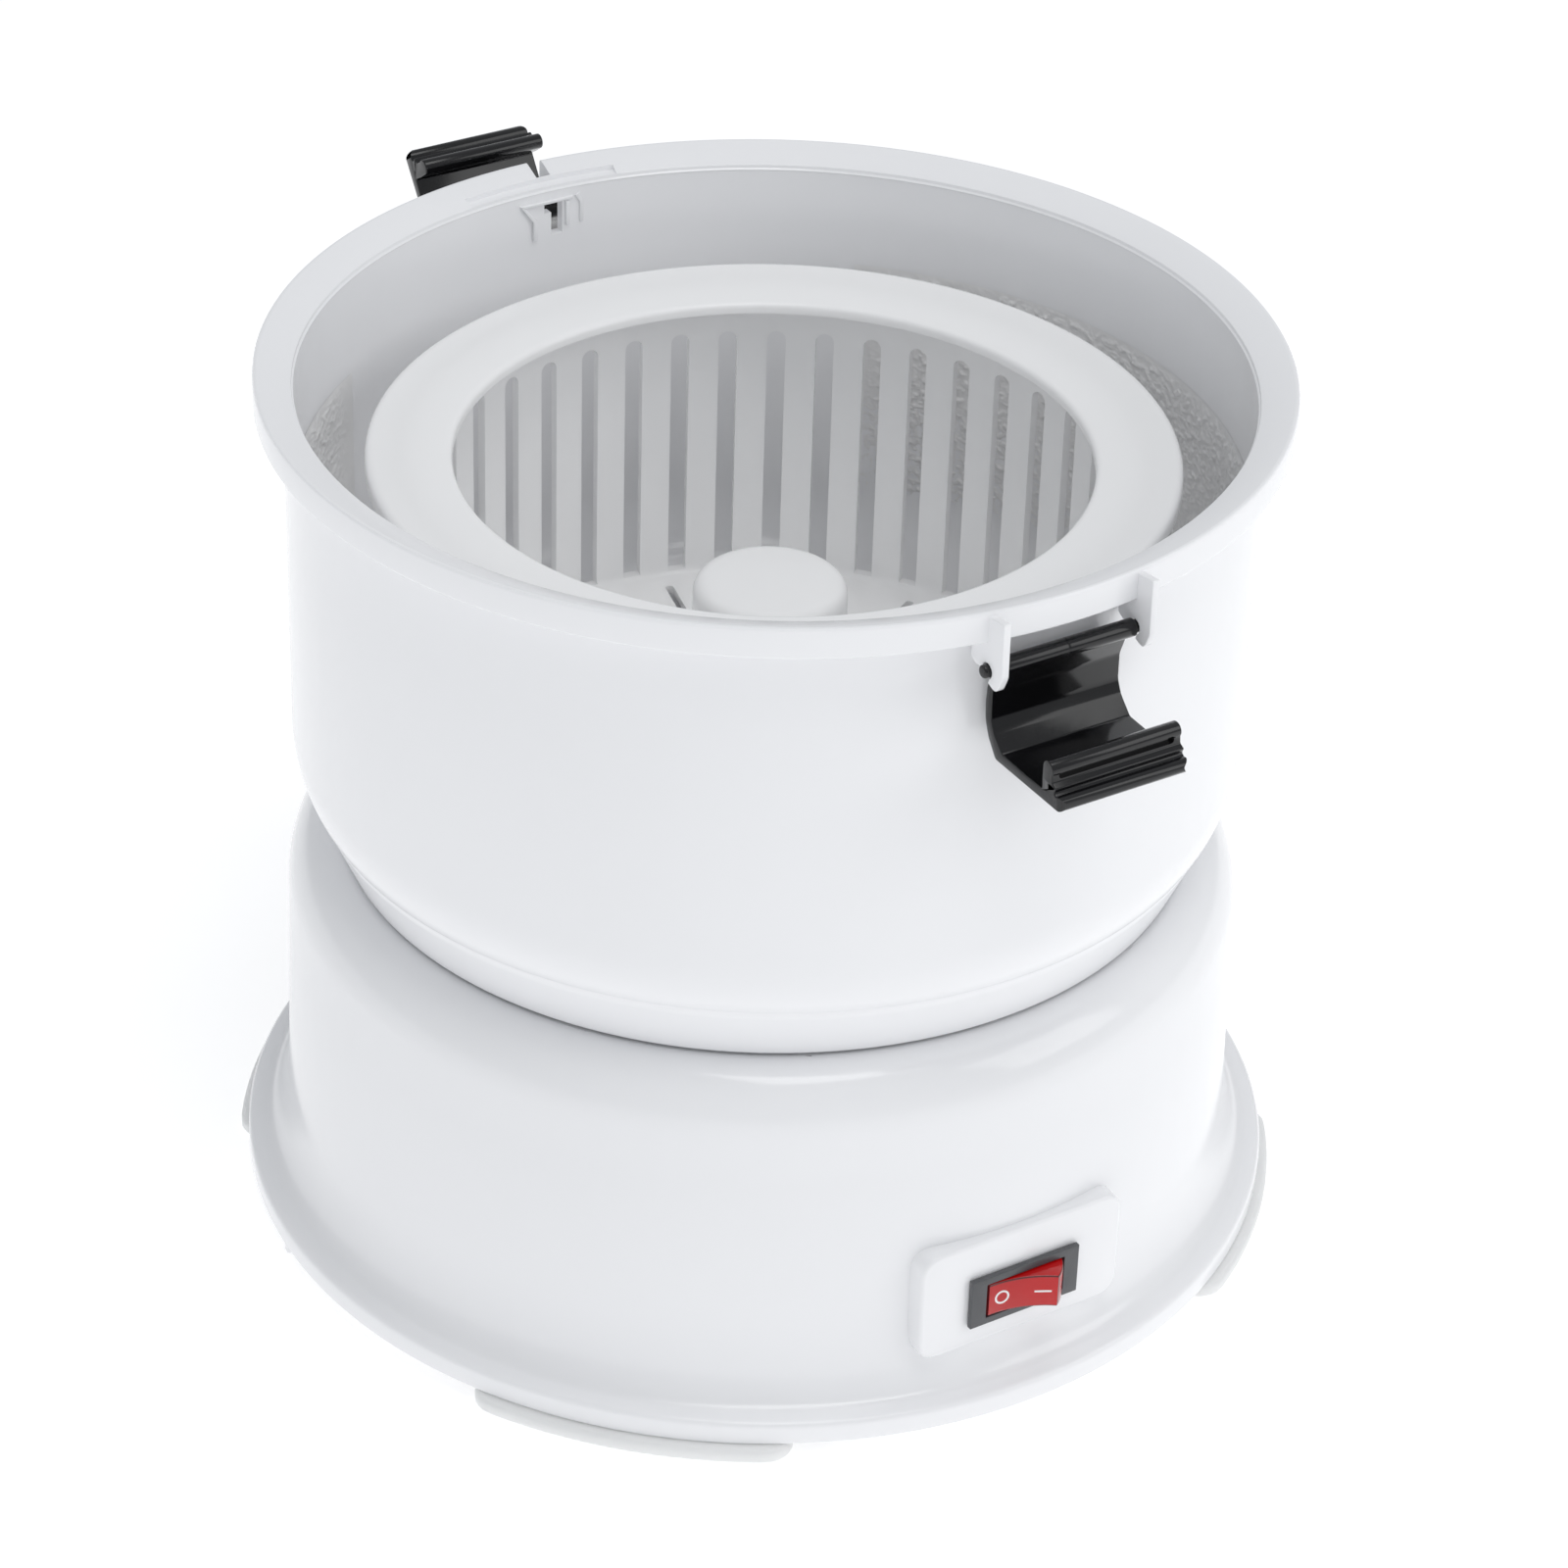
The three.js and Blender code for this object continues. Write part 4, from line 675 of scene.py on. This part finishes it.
def latch(name, azimuth, swing):
    """A bent plate with a thick bead at its tip, a beaded rib behind it and a barrel for its pin."""
    wall_side = [(-2.1, -0.1), (-4.4, -6.5, 8), (-4.9, -11.5, 8), (-4.6, -16, 8), (-3.0, -20.0, 6),
                 (0.2, -24.2, 1.6)]
    tip = arc(24.6, -22.4, 1.8, -90, 110, 10) + [(23.2, -20.2, 0.5), (23.8, -18.9, 0.4),
                                                 (22.3, -18.2, 0.5)]
    bead = arc(20.4, -15.5, 2.0, -30, 190, 14)
    pocket = [(18.4, -18.5, 0.8), (18.6, -21.5, 0.5), (12, -21.7, 2), (3.0, -21.5, 1.2),
              (-0.9, -17.8, 4), (-2.4, -14.6, 4), (-2.5, -8, 4), (0.1, -0.9)]
    outline = filleted(wall_side + tip + bead + pocket, 6)
    plate = slab("plate", outline, -LATCH_HALF, LATCH_HALF, 0.35)
    plan = Matrix(((1, 0, 0, 0), (0, 0, 1, 0), (0, -1, 0, 0), (0, 0, 0, 1)))
    side = LATCH_HALF + 0.1
    corners = filleted([(-12, -side), (26.6, -side, 3.2), (26.6, side, 3.2), (-12, side)], 8)
    combine(plate, slab("plan", corners, -28, 4, 0, plan), "INTERSECT")
    barrel = lathed("barrel", filleted([
        (0, -18.4), (BARREL, -18.4, 0.4), (BARREL, -0.25, 0.12), (BARREL - 0.15, 0, 0.05),
        (BARREL, 0.25, 0.12), (BARREL, 18.4, 0.4), (0, 18.4),
    ]), 48)
    pin = lathed("pin", filleted([(0, -22.2), (1.6, -22.2, 0.7), (1.6, 22.2, 0.7), (0, 22.2)]), 40)
    combine(plate, barrel, "UNION")
    combine(plate, pin, "UNION")
    groove_at = Matrix.Translation((22.5, -16.7, 0)) @ Matrix.Rotation(math.pi / 2, 4, "Y")
    combine(plate, slab("groove", rectangle(31, 1.9, 0.94), -1.2, 1.2, 0, groove_at), "DIFFERENCE")
    swing_out = Matrix.Rotation(math.radians(swing), 4, "Z")
    in_place = sideways(azimuth, LATCH_UP, LATCH_OUT)
    in_place.translation = in_place.translation * MM
    plate.data.transform(in_place @ swing_out)
    plate.name = name + "_piece"
    shade(plate)
    fit(plate, name, "black_gloss_plastic", name)


base_shell()
base_plate()
feet()
screws()
cord_gland()
switch_body()
switch_rocker()
rocker_marks()
bowl_shell()
key_guide()
rough_patches()
basket()
latch("front_latch", FRONT, 0)
latch("rear_latch", REAR, REAR_SWING)


# ---------------------------------------------------------------- studio
FLOOR_UP = -4.3  # just under the feet
MIDDLE = (0, 0, 0.1)  # what the lights point at


def floor():
    """A wide pale floor with a faint glow of its own, so that it reads as a white backdrop."""
    bm = bmesh.new()
    bmesh.ops.create_grid(bm, x_segments=2, y_segments=2, size=6000)
    bmesh.ops.translate(bm, verts=bm.verts, vec=(0, 0, FLOOR_UP))
    ground = finished("floor", bm)
    glow = {"Emission Color": (1, 1, 1, 1), "Emission Strength": 0.48}
    ground.data.materials.append(material("floor_paint", (0.93, 0.93, 0.935), 0.6, glow,
                                          mottle=0.004, wear=0.0, bump=0.01))


def light(name, place, size, power, colour=(1, 1, 1)):
    """A rectangular lamp of the given power in watts, pointed at the middle of the object."""
    data = bpy.data.lights.new(name, "AREA")
    data.shape = "RECTANGLE"
    data.size, data.size_y = size
    data.energy = power
    data.color = colour
    lamp = bpy.data.objects.new(name, data)
    bpy.context.scene.collection.objects.link(lamp)
    lamp.location = place
    lamp.rotation_euler = (Vector(MIDDLE) - Vector(place)).to_track_quat("-Z", "Y").to_euler()


def studio():
    """An even sky, a soft key from the right front, a weak fill from the left and a lamp above."""
    world = bpy.data.worlds.new("studio")
    bpy.context.scene.world = world
    world.use_nodes = True
    background = world.node_tree.nodes["Background"]
    background.inputs["Color"].default_value = (0.93, 0.96, 1.0, 1)
    background.inputs["Strength"].default_value = 0.46
    light("key", (1.0, -1.1, 1.0), (0.9, 0.9), 4.5)
    light("fill", (-1.5, -0.8, 0.9), (1.2, 1.2), 0.5, (0.95, 0.97, 1.0))
    light("top", (0.0, -0.4, 1.65), (0.8, 0.8), 6.5)
    bpy.context.scene.view_settings.view_transform = "Standard"
    bpy.context.scene.view_settings.gamma = 1.2


def camera():
    """Looks down at the object from its left front, leaning a little."""
    azimuth, elevation, roll = (math.radians(angle) for angle in (-32.5, 32.65, 1.85))
    distance, focal, sensor = 1.21375, 110.3, 36
    shift_right, under_rim = 0.0049, 120.25  # the point it looks at, beside the axis and below the rim
    away = Vector((math.sin(azimuth) * math.cos(elevation),
                   -math.cos(azimuth) * math.cos(elevation), math.sin(elevation)))
    right = Vector((math.cos(azimuth), math.sin(azimuth), 0))
    look = right * shift_right + Vector((0, 0, (RIM - under_rim) * MM))
    data = bpy.data.cameras.new("camera")
    data.lens = focal
    data.sensor_width = sensor
    data.clip_start, data.clip_end = 0.05, 50
    view = bpy.data.objects.new("camera", data)
    bpy.context.scene.collection.objects.link(view)
    view.location = look + away * distance
    facing_object = (-away).to_track_quat("-Z", "Y").to_matrix().to_4x4()
    leaning = facing_object @ Matrix.Rotation(roll, 4, "Z")
    view.rotation_mode = "QUATERNION"
    view.rotation_quaternion = leaning.to_quaternion()
    bpy.context.scene.camera = view


floor()
studio()
camera()
